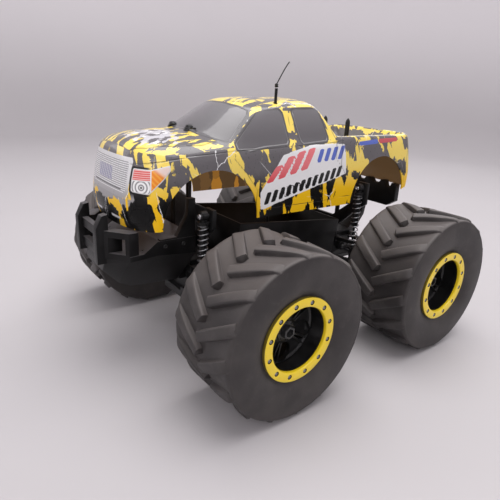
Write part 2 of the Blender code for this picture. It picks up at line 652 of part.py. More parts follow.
def electrics():
    floor = TUB_BOTTOM_Z + WALL + 0.5 * MM
    pack = box((-35 * MM, -45 * MM, TUB_BOTTOM_Z + 0.5 * MM), (-8.5 * MM, 55 * MM, 89 * MM))
    node("battery_pack", "battery_wrap", [pack])
    node("receiver_box", "black_nylon", [box((8 * MM, -52 * MM, floor), (35 * MM, 4 * MM, 87 * MM))])
    low = TUB_BOTTOM_Z - 2.8 * MM
    high = TUB_BOTTOM_Z - GAP
    door = box((-39.5 * MM, -49 * MM, low), (-5 * MM, 59 * MM, high))
    node("battery_door", "black_nylon", [door], pivot=(-39.5 * MM, 0, (low + high) / 2))
    slider = box((18 * MM, -66 * MM, low), (23 * MM, -58 * MM, high))
    node("power_switch", "switch_red", [slider], pivot=(20.5 * MM, -62 * MM, high))


def antenna():
    x, y = ANTENNA
    tube = rod((x, y, 118.4 * MM), (x, y, 289 * MM), 1.6 * MM, 8)
    node("antenna_tube", "black_nylon", [tube])
    knot = turned(
        ((289.4 * MM, 1.0 * MM), (291 * MM, 2.3 * MM), (294 * MM, 2.3 * MM), (296 * MM, 0.9 * MM)),
        "z", (x, y, 0), 8,
    )
    wire = rod((x, y, 294 * MM), (x, y + 15 * MM, 316 * MM), 0.7 * MM, 6)
    node("antenna_whip", "black_nylon", [knot, wire])


# ---- body shell ---------------------------------------------------------------------------
# Cross sections from the grille to the cab's back, in mm: centre line, then five points outwards;
# the last one is the belt line along the side.
FRONT_SECTIONS = (
    ((0, -209.5, 224), (20, -209.2, 223.6), (35, -207.8, 222.6), (44, -204.3, 221.8), (53, -198, 220.6),
     (60.5, -188.5, 219)),
    ((0, -206.5, 233), (20, -206, 232.2), (35.5, -203.5, 230.6), (45, -199.5, 229.2), (54.5, -192, 227.3),
     (63.5, -181, 221.5)),
    ((0, -199, 239), (20.5, -198.5, 238), (37, -195.5, 235.6), (47, -191.5, 233.6), (57, -184, 230.2),
     (65.5, -171, 223)),
    ((0, -184, 242.8), (21, -183, 241.4), (39, -180, 238.4), (49.5, -176, 236), (60, -169, 231.3),
     (66.8, -157, 224.3)),
    ((0, -162, 244.6), (22, -161, 243.2), (41, -158, 239.8), (52, -154, 236.8), (61.5, -148, 232),
     (67, -143, 225.2)),
    ((0, -145, 245.2), (24, -143.5, 244), (44, -137, 241), (55, -132, 237.5), (62, -129, 232.8),
     (67.2, -127, 226.3)),
    ((0, -138.5, 244.6), (26, -135, 243.8), (48, -122.5, 240.8), (58, -113.5, 237.2), (63, -111, 233.2),
     (67.4, -110, 227.3)),
    ((0, -122, 254), (25.5, -119, 253), (48.5, -108, 249), (57, -102, 243.5), (63, -100, 233.8),
     (67.5, -100, 228.2)),
    ((0, -104, 265), (25, -101.5, 263.8), (46.5, -92, 259.5), (54, -86.5, 255), (62.8, -86, 234.3),
     (67.6, -86, 229.3)),
    ((0, -88, 274), (24.5, -86, 272.8), (44.5, -78.5, 268.2), (50.8, -72, 265.5), (62.5, -73, 234.5),
     (67.6, -73, 230.2)),
    ((0, -74, 277.4), (25, -72, 276.3), (45.5, -65, 270.8), (50.5, -60, 267), (62.4, -60, 234.6),
     (67.7, -60, 231)),
    ((0, -45, 279), (26, -45, 277.8), (46, -43, 272.6), (50.3, -42, 267.8), (62.4, -42, 234.7),
     (67.8, -42, 231.6)),
    ((0, -15, 279.6), (26.5, -15, 278.4), (46.5, -15, 274.2), (50.6, -15, 268.6), (62.5, -15, 235),
     (68, -15, 232.4)),
    ((0, 4, 279.2), (26.5, 4, 278.2), (46.8, 3, 275), (51.2, 3, 269.6), (62.8, 5, 235.4), (68, 5, 233)),
    ((0, 14, 277.4), (26, 14, 276.8), (46, 12, 274.2), (53, 13.5, 268), (63.2, 22, 236), (68, 22, 233.6)),
    ((0, 23, 262), (26, 23, 261.5), (46.5, 22.5, 260.5), (58, 25, 257), (64, 32, 237), (68, 33, 234.2)),
    ((0, 32, 241), (28, 32, 241), (50, 33, 241), (60, 36, 241.5), (65, 38, 239.5), (68, 40, 234.8)),
    ((0, 40, 241), (30, 40, 241), (56, 40, 241.2), (61, 40, 241.6), (65, 42, 240), (68, 44, 235)),
    ((0, 42, 223), (30, 42, 223), (55.5, 42.5, 223.5), (60.5, 46, 241.8), (65, 50, 240.2), (68, 52, 235.2)),
)
BED_STATIONS = (70, 100, 130, 152)
BED_SECTION = ((0, 222), (30, 222), (55.5, 222), (60.5, 242), (65.2, 240.5), (68, 235.5))
TAIL_SECTIONS = (
    ((0, 164, 222), (30, 164, 222), (55.5, 163, 222.5), (60.5, 160, 242), (65.2, 160, 240.5),
     (68, 159, 235.5)),
    ((0, 167, 243), (30, 167, 243), (56, 166.5, 243), (60.5, 165, 242.6), (65, 163.5, 241),
     (68, 162, 235.8)),
    ((0, 175, 243.5), (30, 174.8, 243.3), (52, 174, 243), (59, 173, 242.6), (64, 171, 241.5),
     (67.5, 168, 236)),
)
# Below the belt line: height and the (x, y) of the same six points, at the nose and at the tail.
NOSE_ROWS = (
    (205, ((0, -211.5), (20, -211), (35, -210), (45, -208.3), (55, -202), (63, -190.5))),
    (188, ((0, -214), (20, -213.6), (36, -212.4), (47, -210.5), (57, -203), (65, -190.5))),
    (173, ((0, -215.5), (20, -215), (37, -213.8), (48.5, -211.5), (58.5, -203.5), (66, -190.5))),
    (158.5, ((0, -213), (20, -212), (36, -209), (49, -205), (59, -199), (66, -188))),
)
TAIL_ROWS = (
    (221, ((0, 183), (30, 183), (52, 182.5), (60, 180.5), (65.5, 177), (68, 170.5))),
    (198, ((0, 190), (30, 190), (52, 189.5), (60, 187), (66, 183), (68.2, 172))),
    (184, ((0, 192), (30, 192), (52, 191.5), (60, 189), (66.5, 184), (68.2, 173))),
    (170, ((0, 190.5), (30, 190.5), (52, 190), (60, 187.5), (66, 183), (67.5, 172))),
)
# Flanks: height, and how far outside the belt line.
FLANK_ROWS = ((205, 0.3), (188, 0.5), (173, 0.2), (159, -0.5))


def shell_sections():
    bed = [[(x, y, z) for x, z in BED_SECTION] for y in BED_STATIONS]
    return [list(section) for section in FRONT_SECTIONS + tuple(bed) + TAIL_SECTIONS]


def shell_cage():
    """The top as a grid of section points, and a skirt of four rows hanging from its border."""
    sections = shell_sections()
    last = len(sections) - 1
    bm = bmesh.new()
    grid = []
    for section in sections:
        whole = [(-x, y, z) for x, y, z in section[:0:-1]] + section
        grid.append([bm.verts.new([value * MM for value in point]) for point in whole])
    for one, two in zip(grid, grid[1:]):
        for k in range(10):
            bm.faces.new((one[k], one[k + 1], two[k + 1], two[k]))
    border = [(i, 10) for i in range(last)] + [(last, c) for c in range(10, 0, -1)]
    border += [(i, 0) for i in range(last, 0, -1)] + [(0, c) for c in range(10)]
    columns = []
    for i, c in border:
        way = 1 if c > 5 else -1
        nearest = abs(c - 5)
        column = [grid[i][c]]
        for level in range(4):
            if i in (0, last):
                z, row = (NOSE_ROWS if i == 0 else TAIL_ROWS)[level]
                x, y = row[nearest]
            else:
                x, y, _ = sections[i][5]
                z, out = FLANK_ROWS[level]
                x += out
            column.append(bm.verts.new((way * x * MM, y * MM, z * MM)))
        columns.append(column)
    for one, two in zip(columns, columns[1:] + columns[:1]):
        for level in range(4):
            bm.faces.new((one[level], one[level + 1], two[level + 1], two[level]))
    bmesh.ops.recalc_face_normals(bm, faces=bm.faces)
    return bm


def rounded(cage):
    """The cage's own corners, moved to where a smooth surface through the cage would carry them."""
    obj = helper(cage)
    smooth = obj.modifiers.new("smooth", "SUBSURF")
    smooth.levels = 1
    smooth.render_levels = 1
    bpy.context.view_layer.update()
    graph = bpy.context.evaluated_depsgraph_get()
    carried = bpy.data.meshes.new_from_object(obj.evaluated_get(graph))
    bm = bmesh.new()
    bm.from_mesh(obj.data)
    for vert, moved in zip(bm.verts, carried.vertices):
        vert.co = moved.co
    bpy.data.objects.remove(obj)
    return bm


def thickened(bm, thickness):
    """The surface and a copy of it inwards along its normals, joined at the open edge."""
    bm.normal_update()
    if sum(face.normal.z * face.calc_area() for face in bm.faces) < 0:
        bmesh.ops.reverse_faces(bm, faces=bm.faces)
        bm.normal_update()
    outer = list(bm.verts)
    faces = list(bm.faces)
    open_edges = [(edge.verts[0], edge.verts[1]) for edge in bm.edges if edge.is_boundary]
    inner = {vert: bm.verts.new(vert.co - vert.normal * thickness) for vert in outer}
    for face in faces:
        bm.faces.new([inner[vert] for vert in reversed(face.verts)])
    for one, two in open_edges:
        bm.faces.new((one, two, inner[two], inner[one]))
    bmesh.ops.recalc_face_normals(bm, faces=bm.faces)
    return bm


def arch(centre_y, centre_z, half_length, height):
    """A wheel opening: a half oval that runs on downwards, through both flanks."""
    outline = []
    for k in range(13):
        turn = math.pi * k / 12
        outline.append((centre_y + half_length * math.cos(turn), centre_z + height * math.sin(turn)))
    outline += [(centre_y - half_length, 140 * MM), (centre_y + half_length, 140 * MM)]
    return prism(outline, "x", -90 * MM, 90 * MM)


def body_shell():
    shape = thickened(rounded(shell_cage()), SHELL_THICKNESS)
    cuts = [
        arch(-131 * MM, 158.5 * MM, 54.2 * MM, 54.2 * MM),
        arch(120 * MM, 160 * MM, 52 * MM, 55 * MM),
    ]
    for x, y in (FRONT_POST, REAR_POST):
        for side in (-1, 1):
            cuts.append(rod((side * x, y, 210 * MM), (side * x, y, 260 * MM), POST_RADIUS + 1.2 * MM, 10))
    x, y = ANTENNA
    cuts.append(rod((x, y, 260 * MM), (x, y, 290 * MM), 2.6 * MM, 8))
    node("body_shell", "shell_yellow", [shape], cuts, smooth_under=50)


# ---- assembly -----------------------------------------------------------------------------
def build():
    clear_scene()
    truck = bpy.data.objects.new("truck", None)
    bpy.context.scene.collection.objects.link(truck)
    truck.location = (0, MID_Y, 0)
    for corner, side, end in CORNERS:
        axle_y = end * HALF_WHEELBASE
        wheel(corner, side, axle_y)
        arm(corner + "_lower_arm", side, axle_y, LOWER_ARM_Z, 20 * MM, shock_boss=True)
        arm(corner + "_upper_arm", side, axle_y, UPPER_ARM_Z, 14 * MM, shock_boss=False)
        drive_shaft(corner, side, axle_y)
        if end < 0:
            front_hub_carrier(corner, side, axle_y)
            front_knuckle(corner, side, axle_y)
            shock(corner, side, axle_y, SHOCK_TOP_Z["front"])
        else:
            rear_upright(corner, side, axle_y)
            shock(corner, side, axle_y, SHOCK_TOP_Z["rear"])
    bulkhead("front_bulkhead", -HALF_WHEELBASE, SHOCK_TOP_Z["front"], FRONT_POST, 250 * MM)
    tail = tail_bumper()
    bulkhead("rear_bulkhead", HALF_WHEELBASE, SHOCK_TOP_Z["rear"], REAR_POST, 257 * MM, tail)
    steering(-HALF_WHEELBASE)
    tub()
    bumper()
    drive_line()
    electrics()
    antenna()
    body_shell()


build()
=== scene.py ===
"""Looks of the radio-controlled monster truck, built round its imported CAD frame.

Shapes are drawn in millimetres in the truck frame: +X to the truck's left, -Y ahead, +Z up, with the
origin on the ground half way between the axles.  placed() carries them into the CAD frame in metres.
"""

import json
import math

import bmesh
import bpy
import numpy as np
from mathutils import Matrix, Vector


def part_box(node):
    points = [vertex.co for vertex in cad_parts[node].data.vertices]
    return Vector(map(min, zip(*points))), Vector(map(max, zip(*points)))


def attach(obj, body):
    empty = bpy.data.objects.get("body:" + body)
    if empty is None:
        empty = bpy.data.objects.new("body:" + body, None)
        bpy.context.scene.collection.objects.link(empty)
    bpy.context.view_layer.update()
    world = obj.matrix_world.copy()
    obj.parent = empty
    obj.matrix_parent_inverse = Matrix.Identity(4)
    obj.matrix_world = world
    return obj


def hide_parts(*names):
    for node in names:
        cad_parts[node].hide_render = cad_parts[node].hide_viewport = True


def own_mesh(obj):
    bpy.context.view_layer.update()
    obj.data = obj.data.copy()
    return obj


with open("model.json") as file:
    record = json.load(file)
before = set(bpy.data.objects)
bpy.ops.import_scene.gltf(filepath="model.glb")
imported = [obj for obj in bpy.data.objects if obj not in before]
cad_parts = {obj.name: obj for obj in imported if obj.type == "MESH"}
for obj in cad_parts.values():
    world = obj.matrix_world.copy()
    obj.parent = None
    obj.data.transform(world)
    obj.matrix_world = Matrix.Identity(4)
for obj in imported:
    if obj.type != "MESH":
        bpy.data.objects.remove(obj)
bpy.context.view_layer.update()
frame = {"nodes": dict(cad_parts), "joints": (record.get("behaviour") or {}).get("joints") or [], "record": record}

MM = 0.001
CORNERS = (
    ("front_left", 1, -1),
    ("front_right", -1, -1),
    ("rear_left", 1, 1),
    ("rear_right", -1, 1),
)
BODY_OF = {
    name: body
    for body, names in frame["record"]["behaviour"]["bodies"].items()
    for name in names
}


def hub_of(corner):
    low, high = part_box(corner + "_beadlock_ring")
    return (low + high) / 2


MID_Y = (hub_of("front_left").y + hub_of("rear_left").y) / 2
HALF_WHEELBASE = (hub_of("rear_left").y - hub_of("front_left").y) / 2 / MM
AXLE_Z = hub_of("front_left").z / MM
TYRE_RADIUS = (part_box("front_left_tyre")[1].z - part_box("front_left_tyre")[0].z) / 2 / MM
WHEEL_MID_X = 144.5
FRONT_POST = (17.3, -131.6)
REAR_POST = (20.0, 100.7)
ANTENNA = (40.0, -40.0)
SHELL_THICKNESS = 1.5


# ---- arithmetic inside a material ---------------------------------------------------------
class Field:
    """A number that varies over a surface, made by the Math nodes of one material."""

    def __init__(self, tree, socket):
        self.tree = tree
        self.socket = socket

    def calc(self, operation, *others):
        made = self.tree.nodes.new("ShaderNodeMath")
        made.operation = operation
        self.tree.links.new(self.socket, made.inputs[0])
        for slot, other in zip(made.inputs[1:], others):
            if isinstance(other, Field):
                self.tree.links.new(other.socket, slot)
            else:
                slot.default_value = other
        return Field(self.tree, made.outputs[0])

    def __add__(self, other):
        return self.calc("ADD", other)

    def __sub__(self, other):
        return self.calc("SUBTRACT", other)

    def __mul__(self, other):
        return self.calc("MULTIPLY", other)

    def __truediv__(self, other):
        return self.calc("DIVIDE", other)

    def __neg__(self):
        return self.calc("MULTIPLY", -1.0)

    def least(self, other):
        return self.calc("MINIMUM", other)

    def most(self, other):
        return self.calc("MAXIMUM", other)

    def size(self):
        return self.calc("ABSOLUTE")

    def wave(self, period):
        """Between -1 and 1, once each period."""
        return self.calc("MULTIPLY", 2 * math.pi / period).calc("SINE")

    def ramp(self, low, high):
        """0 below low, 1 above high."""
        made = self.tree.nodes.new("ShaderNodeMapRange")
        made.interpolation_type = "SMOOTHSTEP"
        self.tree.links.new(self.socket, made.inputs["Value"])
        made.inputs["From Min"].default_value = low
        made.inputs["From Max"].default_value = high
        return Field(self.tree, made.outputs["Result"])


class Paint:
    """A material, and the few kinds of node that the truck's finishes are made of."""

    def __init__(self, name, **settings):
        self.material = bpy.data.materials.new(name)
        self.material.use_nodes = True
        self.tree = self.material.node_tree
        self.shader = self.tree.nodes["Principled BSDF"]
        for key, value in settings.items():
            self.set(key.replace("_", " ").title(), value)

    def set(self, name, value):
        name = {"Ior": "IOR", "Coat Ior": "Coat IOR", "Specular": "Specular IOR Level"}.get(name, name)
        self.feed(self.shader.inputs[name], value)

    def feed(self, socket, value):
        if isinstance(value, Field):
            self.tree.links.new(value.socket, socket)
        elif isinstance(value, bpy.types.NodeSocket):
            self.tree.links.new(value, socket)
        elif isinstance(value, tuple):
            socket.default_value = (*value, 1) if len(socket.default_value) == 4 else value
        else:
            socket.default_value = value

    def place(self):
        """x, y and z in the truck frame, in mm."""
        coords = self.tree.nodes.new("ShaderNodeTexCoord")
        split = self.tree.nodes.new("ShaderNodeSeparateXYZ")
        self.tree.links.new(coords.outputs["Object"], split.inputs[0])
        x, y, z = [Field(self.tree, out) for out in split.outputs]
        return x / MM, (y - MID_Y) / MM, z / MM

    def value(self, name):
        made = self.tree.nodes.new("ShaderNodeAttribute")
        made.attribute_name = name
        return Field(self.tree, made.outputs["Fac"])

    def vector(self, *parts):
        made = self.tree.nodes.new("ShaderNodeCombineXYZ")
        for slot, part in zip(made.inputs, parts):
            self.feed(slot, part)
        return made.outputs[0]

    def faces_up(self):
        """1 on what faces straight up, 0 on walls and undersides."""
        made = self.tree.nodes.new("ShaderNodeNewGeometry")
        split = self.tree.nodes.new("ShaderNodeSeparateXYZ")
        self.tree.links.new(made.outputs["Normal"], split.inputs[0])
        return Field(self.tree, split.outputs[2]).ramp(0.3, 1.0)

    def noise(self, vector, scale=1.0, detail=2.0, roughness=0.5):
        made = self.tree.nodes.new("ShaderNodeTexNoise")
        self.tree.links.new(vector, made.inputs["Vector"])
        made.inputs["Scale"].default_value = scale
        made.inputs["Detail"].default_value = detail
        made.inputs["Roughness"].default_value = roughness
        return Field(self.tree, made.outputs["Fac"])

    def cells(self, vector, feature="F1"):
        """A random number for each cell, or the distance to the nearest cell edge."""
        made = self.tree.nodes.new("ShaderNodeTexVoronoi")
        made.voronoi_dimensions = "2D"
        made.feature = feature
        made.inputs["Scale"].default_value = 1
        self.tree.links.new(vector, made.inputs["Vector"])
        if feature != "F1":
            return Field(self.tree, made.outputs["Distance"])
        split = self.tree.nodes.new("ShaderNodeSeparateColor")
        self.tree.links.new(made.outputs["Color"], split.inputs[0])
        return Field(self.tree, split.outputs[0])

    def mix(self, one, two, share):
        made = self.tree.nodes.new("ShaderNodeMix")
        made.data_type = "RGBA"
        self.feed(made.inputs[0], share)
        self.feed(made.inputs[6], one)
        self.feed(made.inputs[7], two)
        return made.outputs[2]

    def bump(self, height, depth_mm, strength=1.0):
        made = self.tree.nodes.new("ShaderNodeBump")
        made.inputs["Strength"].default_value = strength
        made.inputs["Distance"].default_value = depth_mm * MM
        self.feed(made.inputs["Height"], height)
        self.tree.links.new(made.outputs["Normal"], self.shader.inputs["Normal"])
        return made


def moulded(name, colour, roughness, grain=0.05, scale=1.4, dust_and_top_light=None, **settings):
    """Moulded plastic: fine grain, faint blotches, and painted light on what faces up."""
    paint = Paint(name, **settings)
    x, y, z = paint.place()
    point = paint.vector(x, y, z)
    blotch = paint.noise(point, 0.045, 3)
    fine = paint.noise(point, scale, 3, 0.6)
    lighter = tuple(min(1, part * 1.35 + 0.004) for part in colour)
    base = paint.mix(colour, lighter, blotch.ramp(0.35, 0.7))
    # Faces that look up are mixed towards the given colour: painted light from above.
    if dust_and_top_light:
        base = paint.mix(base, dust_and_top_light, paint.faces_up() * (blotch * 0.5 + 0.6))
    paint.set("Base Color", base)
    paint.set("Roughness", fine * 0.12 + blotch * 0.08 + (roughness - 0.1))
    paint.bump(fine, grain)
    return paint.material


def turned_metal(name, colour, roughness=0.25):
    paint = Paint(name, metallic=1.0)
    x, y, z = paint.place()
    line = paint.noise(paint.vector(x * 0.3, y * 0.3, z * 6), 1.2, 3)
    paint.set("Base Color", paint.mix(colour, tuple(part * 0.72 for part in colour), line))
    paint.set("Roughness", line * 0.2 + (roughness - 0.06))
    paint.bump(line, 0.02)
    return paint.material


# ---- shapes -------------------------------------------------------------------------------
def skin(rings, closed=False, caps=True):
    """A mesh from rings of equally many points."""
    bm = bmesh.new()
    rows = [[bm.verts.new(point) for point in ring] for ring in rings]
    count = len(rows[0])
    pairs = list(zip(rows, rows[1:]))
    if closed:
        pairs.append((rows[-1], rows[0]))
    for one, two in pairs:
        for k in range(count):
            bm.faces.new((one[k], one[(k + 1) % count], two[(k + 1) % count], two[k]))
    if caps and not closed:
        bm.faces.new(rows[0][::-1])
        bm.faces.new(rows[-1])
    bmesh.ops.recalc_face_normals(bm, faces=bm.faces)
    return bm


def turned(profile, axis, centre, steps=48, closed=False, caps=True):
    """(distance along the axis, radius) pairs, spun about the axis through centre."""
    rings = []
    for along, radius in profile:
        ring = []
        for k in range(steps):
            a = 2 * math.pi * (k + 0.5) / steps
            u, v = radius * math.cos(a), radius * math.sin(a)
            point = {"x": (along, u, v), "y": (u, along, v), "z": (u, v, along)}[axis]
            ring.append(Vector(centre) + Vector(point))
        rings.append(ring)
    return skin(rings, closed, caps)


def tube(points, radius, steps=10, taper=None):
    """A round bar along a path, with its rings square to the path."""
    points = [Vector(point) for point in points]
    last = len(points) - 1
    tangents = [(points[min(i + 1, last)] - points[max(i - 1, 0)]).normalized() for i in range(last + 1)]
    side = tangents[0].orthogonal().normalized()
    rings = []
    for i, (point, tangent) in enumerate(zip(points, tangents)):
        side = (side - tangent * side.dot(tangent)).normalized()
        other = tangent.cross(side)
        reach = radius * (taper[i] if taper else 1)
        angles = [2 * math.pi * k / steps for k in range(steps)]
        rings.append([point + (side * math.cos(a) + other * math.sin(a)) * reach for a in angles])
    return skin(rings)


def block(low, high):
    bm = bmesh.new()
    bmesh.ops.create_cube(bm, size=1)
    low, high = Vector(low), Vector(high)
    bmesh.ops.scale(bm, vec=high - low, verts=bm.verts)
    bmesh.ops.translate(bm, vec=(low + high) / 2, verts=bm.verts)
    return bm


def prism(outline, axis, low, high):
    rings = []
    for t in (low, high):
        place = {"x": lambda a, b: (t, a, b), "y": lambda a, b: (a, t, b), "z": lambda a, b: (a, b, t)}[axis]
        rings.append([place(a, b) for a, b in outline])
    return skin(rings)


def mesh_of(bm, name="shape"):
    mesh = bpy.data.meshes.new(name)
    bm.to_mesh(mesh)
    bm.free()
    return mesh


def joined(parts):
    """Several shapes as one mesh; each part is a shape, or a shape with its material number."""
    whole = bmesh.new()
    for part in parts:
        bm, number = part if isinstance(part, tuple) else (part, 0)
        for face in bm.faces:
            face.material_index = number
        mesh = mesh_of(bm)
        whole.from_mesh(mesh)
        bpy.data.meshes.remove(mesh)
    return whole


def linked(mesh, name):
    obj = bpy.data.objects.new(name, mesh)
    bpy.context.scene.collection.objects.link(obj)
    return obj


def applied(obj):
    """The object's mesh with its modifiers worked in; the object goes."""
    bpy.context.view_layer.update()
    graph = bpy.context.evaluated_depsgraph_get()
    mesh = bpy.data.meshes.new_from_object(obj.evaluated_get(graph))
    old = obj.data
    bpy.data.objects.remove(obj)
    bpy.data.meshes.remove(old)
    return mesh


def cut(mesh, cutters, operation="DIFFERENCE"):
    base = linked(mesh, "base")
    tools = [linked(mesh_of(bm), "tool") for bm in cutters]
    for tool in tools:
        step = base.modifiers.new("cut", "BOOLEAN")
        step.operation = operation
        step.solver = "EXACT"
        step.object = tool
    made = applied(base)
    for tool in tools:
        old = tool.data
        bpy.data.objects.remove(tool)
        bpy.data.meshes.remove(old)
    return made


def bevelled(mesh, width, segments=2, angle=32):
    obj = linked(mesh, "bevel")
    step = obj.modifiers.new("bevel", "BEVEL")
    step.width = width
    step.segments = segments
    step.limit_method = "ANGLE"
    step.angle_limit = math.radians(angle)
    step.harden_normals = False
    return applied(obj)


def placed(name, mesh, body, finishes, sharp=38, metres=False):
    """A finished piece: from truck millimetres into the CAD frame, with its materials, on its body."""
    if isinstance(mesh, bmesh.types.BMesh):
        mesh = mesh_of(mesh)
    if not metres:
        mesh.transform(Matrix.Translation((0, MID_Y, 0)) @ Matrix.Scale(MM, 4))
    mesh.name = name
    numbers = [face.material_index for face in mesh.polygons]
    mesh.materials.clear()
    for finish in finishes:
        mesh.materials.append(finish)
    mesh.polygons.foreach_set("material_index", numbers)
    mesh.shade_smooth()
    mesh.set_sharp_from_angle(angle=math.radians(sharp))
    obj = linked(mesh, name)
    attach(obj, body)
    return obj


def sided(parts, side):
    """The parts as drawn for the left, or their mirror image for the right."""
    if side > 0:
        return parts
    for part in parts:
        bm = part[0] if isinstance(part, tuple) else part
        bmesh.ops.scale(bm, vec=(-1, 1, 1), verts=bm.verts)
        bmesh.ops.reverse_faces(bm, faces=bm.faces)
    return parts


# ---- finishes -----------------------------------------------------------------------------
def rubber():
    paint = Paint("tyre_rubber", specular=0.42)
    x, y, z = paint.place()
    point = paint.vector(x, y, z)
    broad = paint.noise(point, 0.03, 3)
    fine = paint.noise(point, 1.1, 4, 0.65)
    dust_and_top_light = paint.noise(point, 0.12, 5, 0.7)
    colour = paint.mix((0.031, 0.027, 0.027), (0.056, 0.050, 0.048), broad.ramp(0.3, 0.72))
    colour = paint.mix(colour, (0.11, 0.10, 0.096), dust_and_top_light.ramp(0.56, 0.9) * 0.5)
    # Rubber that faces up is mixed lighter: painted light from above on the tread tops.
    colour = paint.mix(colour, (0.13, 0.112, 0.108), paint.faces_up() * 0.6)
    paint.set("Base Color", colour)
    paint.set("Roughness", fine * 0.16 + 0.47)
    paint.bump(fine * 0.6 + dust_and_top_light * 0.5, 0.16)
    return paint.material


# In the moulded() finishes below, the last colour is painted light on faces that look up.
def nylon():
    return moulded(
        "black_nylon", (0.006, 0.006, 0.0063), 0.42, 0.06, 1.8, (0.022, 0.021, 0.022), specular=0.3,
    )


FINISH = {
    "tyre": rubber(),
    "nylon": nylon(),
    "tub": moulded(
        "chassis_nylon", (0.0048, 0.0046, 0.0048), 0.38, 0.06, 1.2, (0.02, 0.017, 0.016), specular=0.25,
    ),
    "bumper": moulded(
        "bumper_nylon", (0.0046, 0.0044, 0.0046), 0.4, 0.08, 1.6, (0.115, 0.108, 0.112), specular=0.22,
    ),
    "rim": moulded("rim_black", (0.0075, 0.0075, 0.008), 0.3, 0.03, 1.6, specular=0.5),
    "socket": moulded("hub_nut_black", (0.026, 0.026, 0.027), 0.34, 0.03, 1.6),
    "dark": moulded("satin_black_wire", (0.006, 0.006, 0.006), 0.3, 0.02, 2.0),
    "spring": turned_metal("spring_steel", (0.42, 0.42, 0.44), 0.27),
    "shaft": turned_metal("shaft_steel", (0.42, 0.42, 0.44), 0.3),
    "screw": turned_metal("screw_steel", (0.82, 0.82, 0.84), 0.18),
    "motor": turned_metal("motor_can", (0.6, 0.61, 0.63), 0.3),
    "battery": moulded("battery_wrap", (0.02, 0.07, 0.28), 0.35, 0.04, 0.9),
    "switch": moulded("switch_red", (0.55, 0.02, 0.012), 0.4, 0.03, 2.0),
}


def anodised():
    paint = Paint("ring_yellow", specular=0.5, coat_weight=0.3)
    x, y, z = paint.place()
    fine = paint.noise(paint.vector(x, y, z), 2.2, 3)
    paint.set("Base Color", paint.mix((0.96, 0.71, 0.022), (0.88, 0.62, 0.016), fine.ramp(0.4, 0.75)))
    paint.set("Roughness", fine * 0.12 + 0.28)
    paint.bump(fine, 0.02)
    return paint.material


FINISH["ring"] = anodised()
# The ring's outer edge: a darker copy of the ring's yellow, painted shade.
FINISH["ring_edge"] = moulded("ring_edge_olive", (0.16, 0.12, 0.012), 0.4, 0.02, 2.0)


# ---- wheels -------------------------------------------------------------------------------
BARS = 16
BAR_HEIGHT = 5.6
GROUND = ((0, 76.7), (15, 76.8), (26, 77.3), (34, 78.5), (38, 79.1), (40, 79.2), (42.0, 78.3), (43.4, 76))
# How wide each line along a bar stands from its middle, and how high, as a share of the bar's height.
BAR_SECTION = (
    (-6.4, -0.2), (-5.5, 0.03), (-5.15, 0.3), (-4.8, 0.84), (-4.2, 0.96), (-2.6, 1.0),
    (2.6, 1.0), (4.2, 0.96), (4.8, 0.84), (5.15, 0.3), (5.5, 0.03), (6.4, -0.2),
)


def ground(a):
    return float(np.interp(abs(a), [row[0] for row in GROUND], [row[1] for row in GROUND]))


def bar(start, end, steps=16):
    """One tread bar between two (distance from the middle plane, angle ahead of the top) points."""
    run_a = end[0] - start[0]
    run_s = math.radians(end[1] - start[1]) * 80
    length = math.hypot(run_a, run_s)
    across = (-run_s / length, run_a / length)
    rings = []
    for k in range(steps + 1):
        t = k / steps
        near_end = min(t * length / 3.2, 1)
        width = math.sqrt(max(0.03, 1 - (1 - near_end) ** 2)) * (1 + 0.10 * t)
        lowered = float(np.interp(t, (0.4, 0.66, 0.84, 0.93, 1.0), (1.0, 0.86, 0.58, 0.35, 0.06)))
        height = BAR_HEIGHT * min(1, near_end * 1.6) * lowered
        ring = []
        for w, h in BAR_SECTION:
            a = start[0] + run_a * t + w * width * across[0]
            s = math.radians(start[1]) * 80 + run_s * t + w * width * across[1]
            a = max(-42.6, min(42.6, a))
            radius = min(ground(a) + h * height, TYRE_RADIUS - 0.02)
            ring.append((a, -radius * math.sin(s / 80), radius * math.cos(s / 80)))
        rings.append(ring)
    return skin(rings)


def tyre(corner, side, end):
    hub = Vector((WHEEL_MID_X, end * HALF_WHEELBASE, AXLE_Z))
    outer = [
        (37.5, 38.4), (37.8, 41.4), (38.2, 42.4), (39.3, 44.2), (40.7, 46.4), (42.0, 49.4), (43.0, 53),
        (43.7, 57), (44.0, 61), (43.95, 65), (43.7, 69), (43.3, 72.4), (42.9, 75), (42.7, 75.9),
        (42.75, 76.6), (42.6, 77.5), (42.1, 78.3), (41.2, 78.9), (40.0, 79.2), (38, 79.1),
        (34, 78.5), (26, 77.3), (15, 76.8), (5, 76.7),
    ]
    profile = outer + [(-a, r) for a, r in outer[::-1]]
    parts = [turned(profile, "x", (0, 0, 0), steps=120, caps=False)]
    for k in range(BARS):
        pitch = 360 / BARS * k
        parts.append(bar((-3.5, 18 + pitch), (41.6, -1.2 + pitch)))
        parts.append(bar((0.5, 29.2 + pitch), (-41.6, 10.0 + pitch)))
    for part in parts:
        bmesh.ops.translate(part, vec=hub, verts=part.verts)
    name = corner + "_tyre"
    obj = placed(name + "_rubber", joined(sided(parts, side)), BODY_OF[name], [FINISH["tyre"]], sharp=50)
    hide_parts(name)


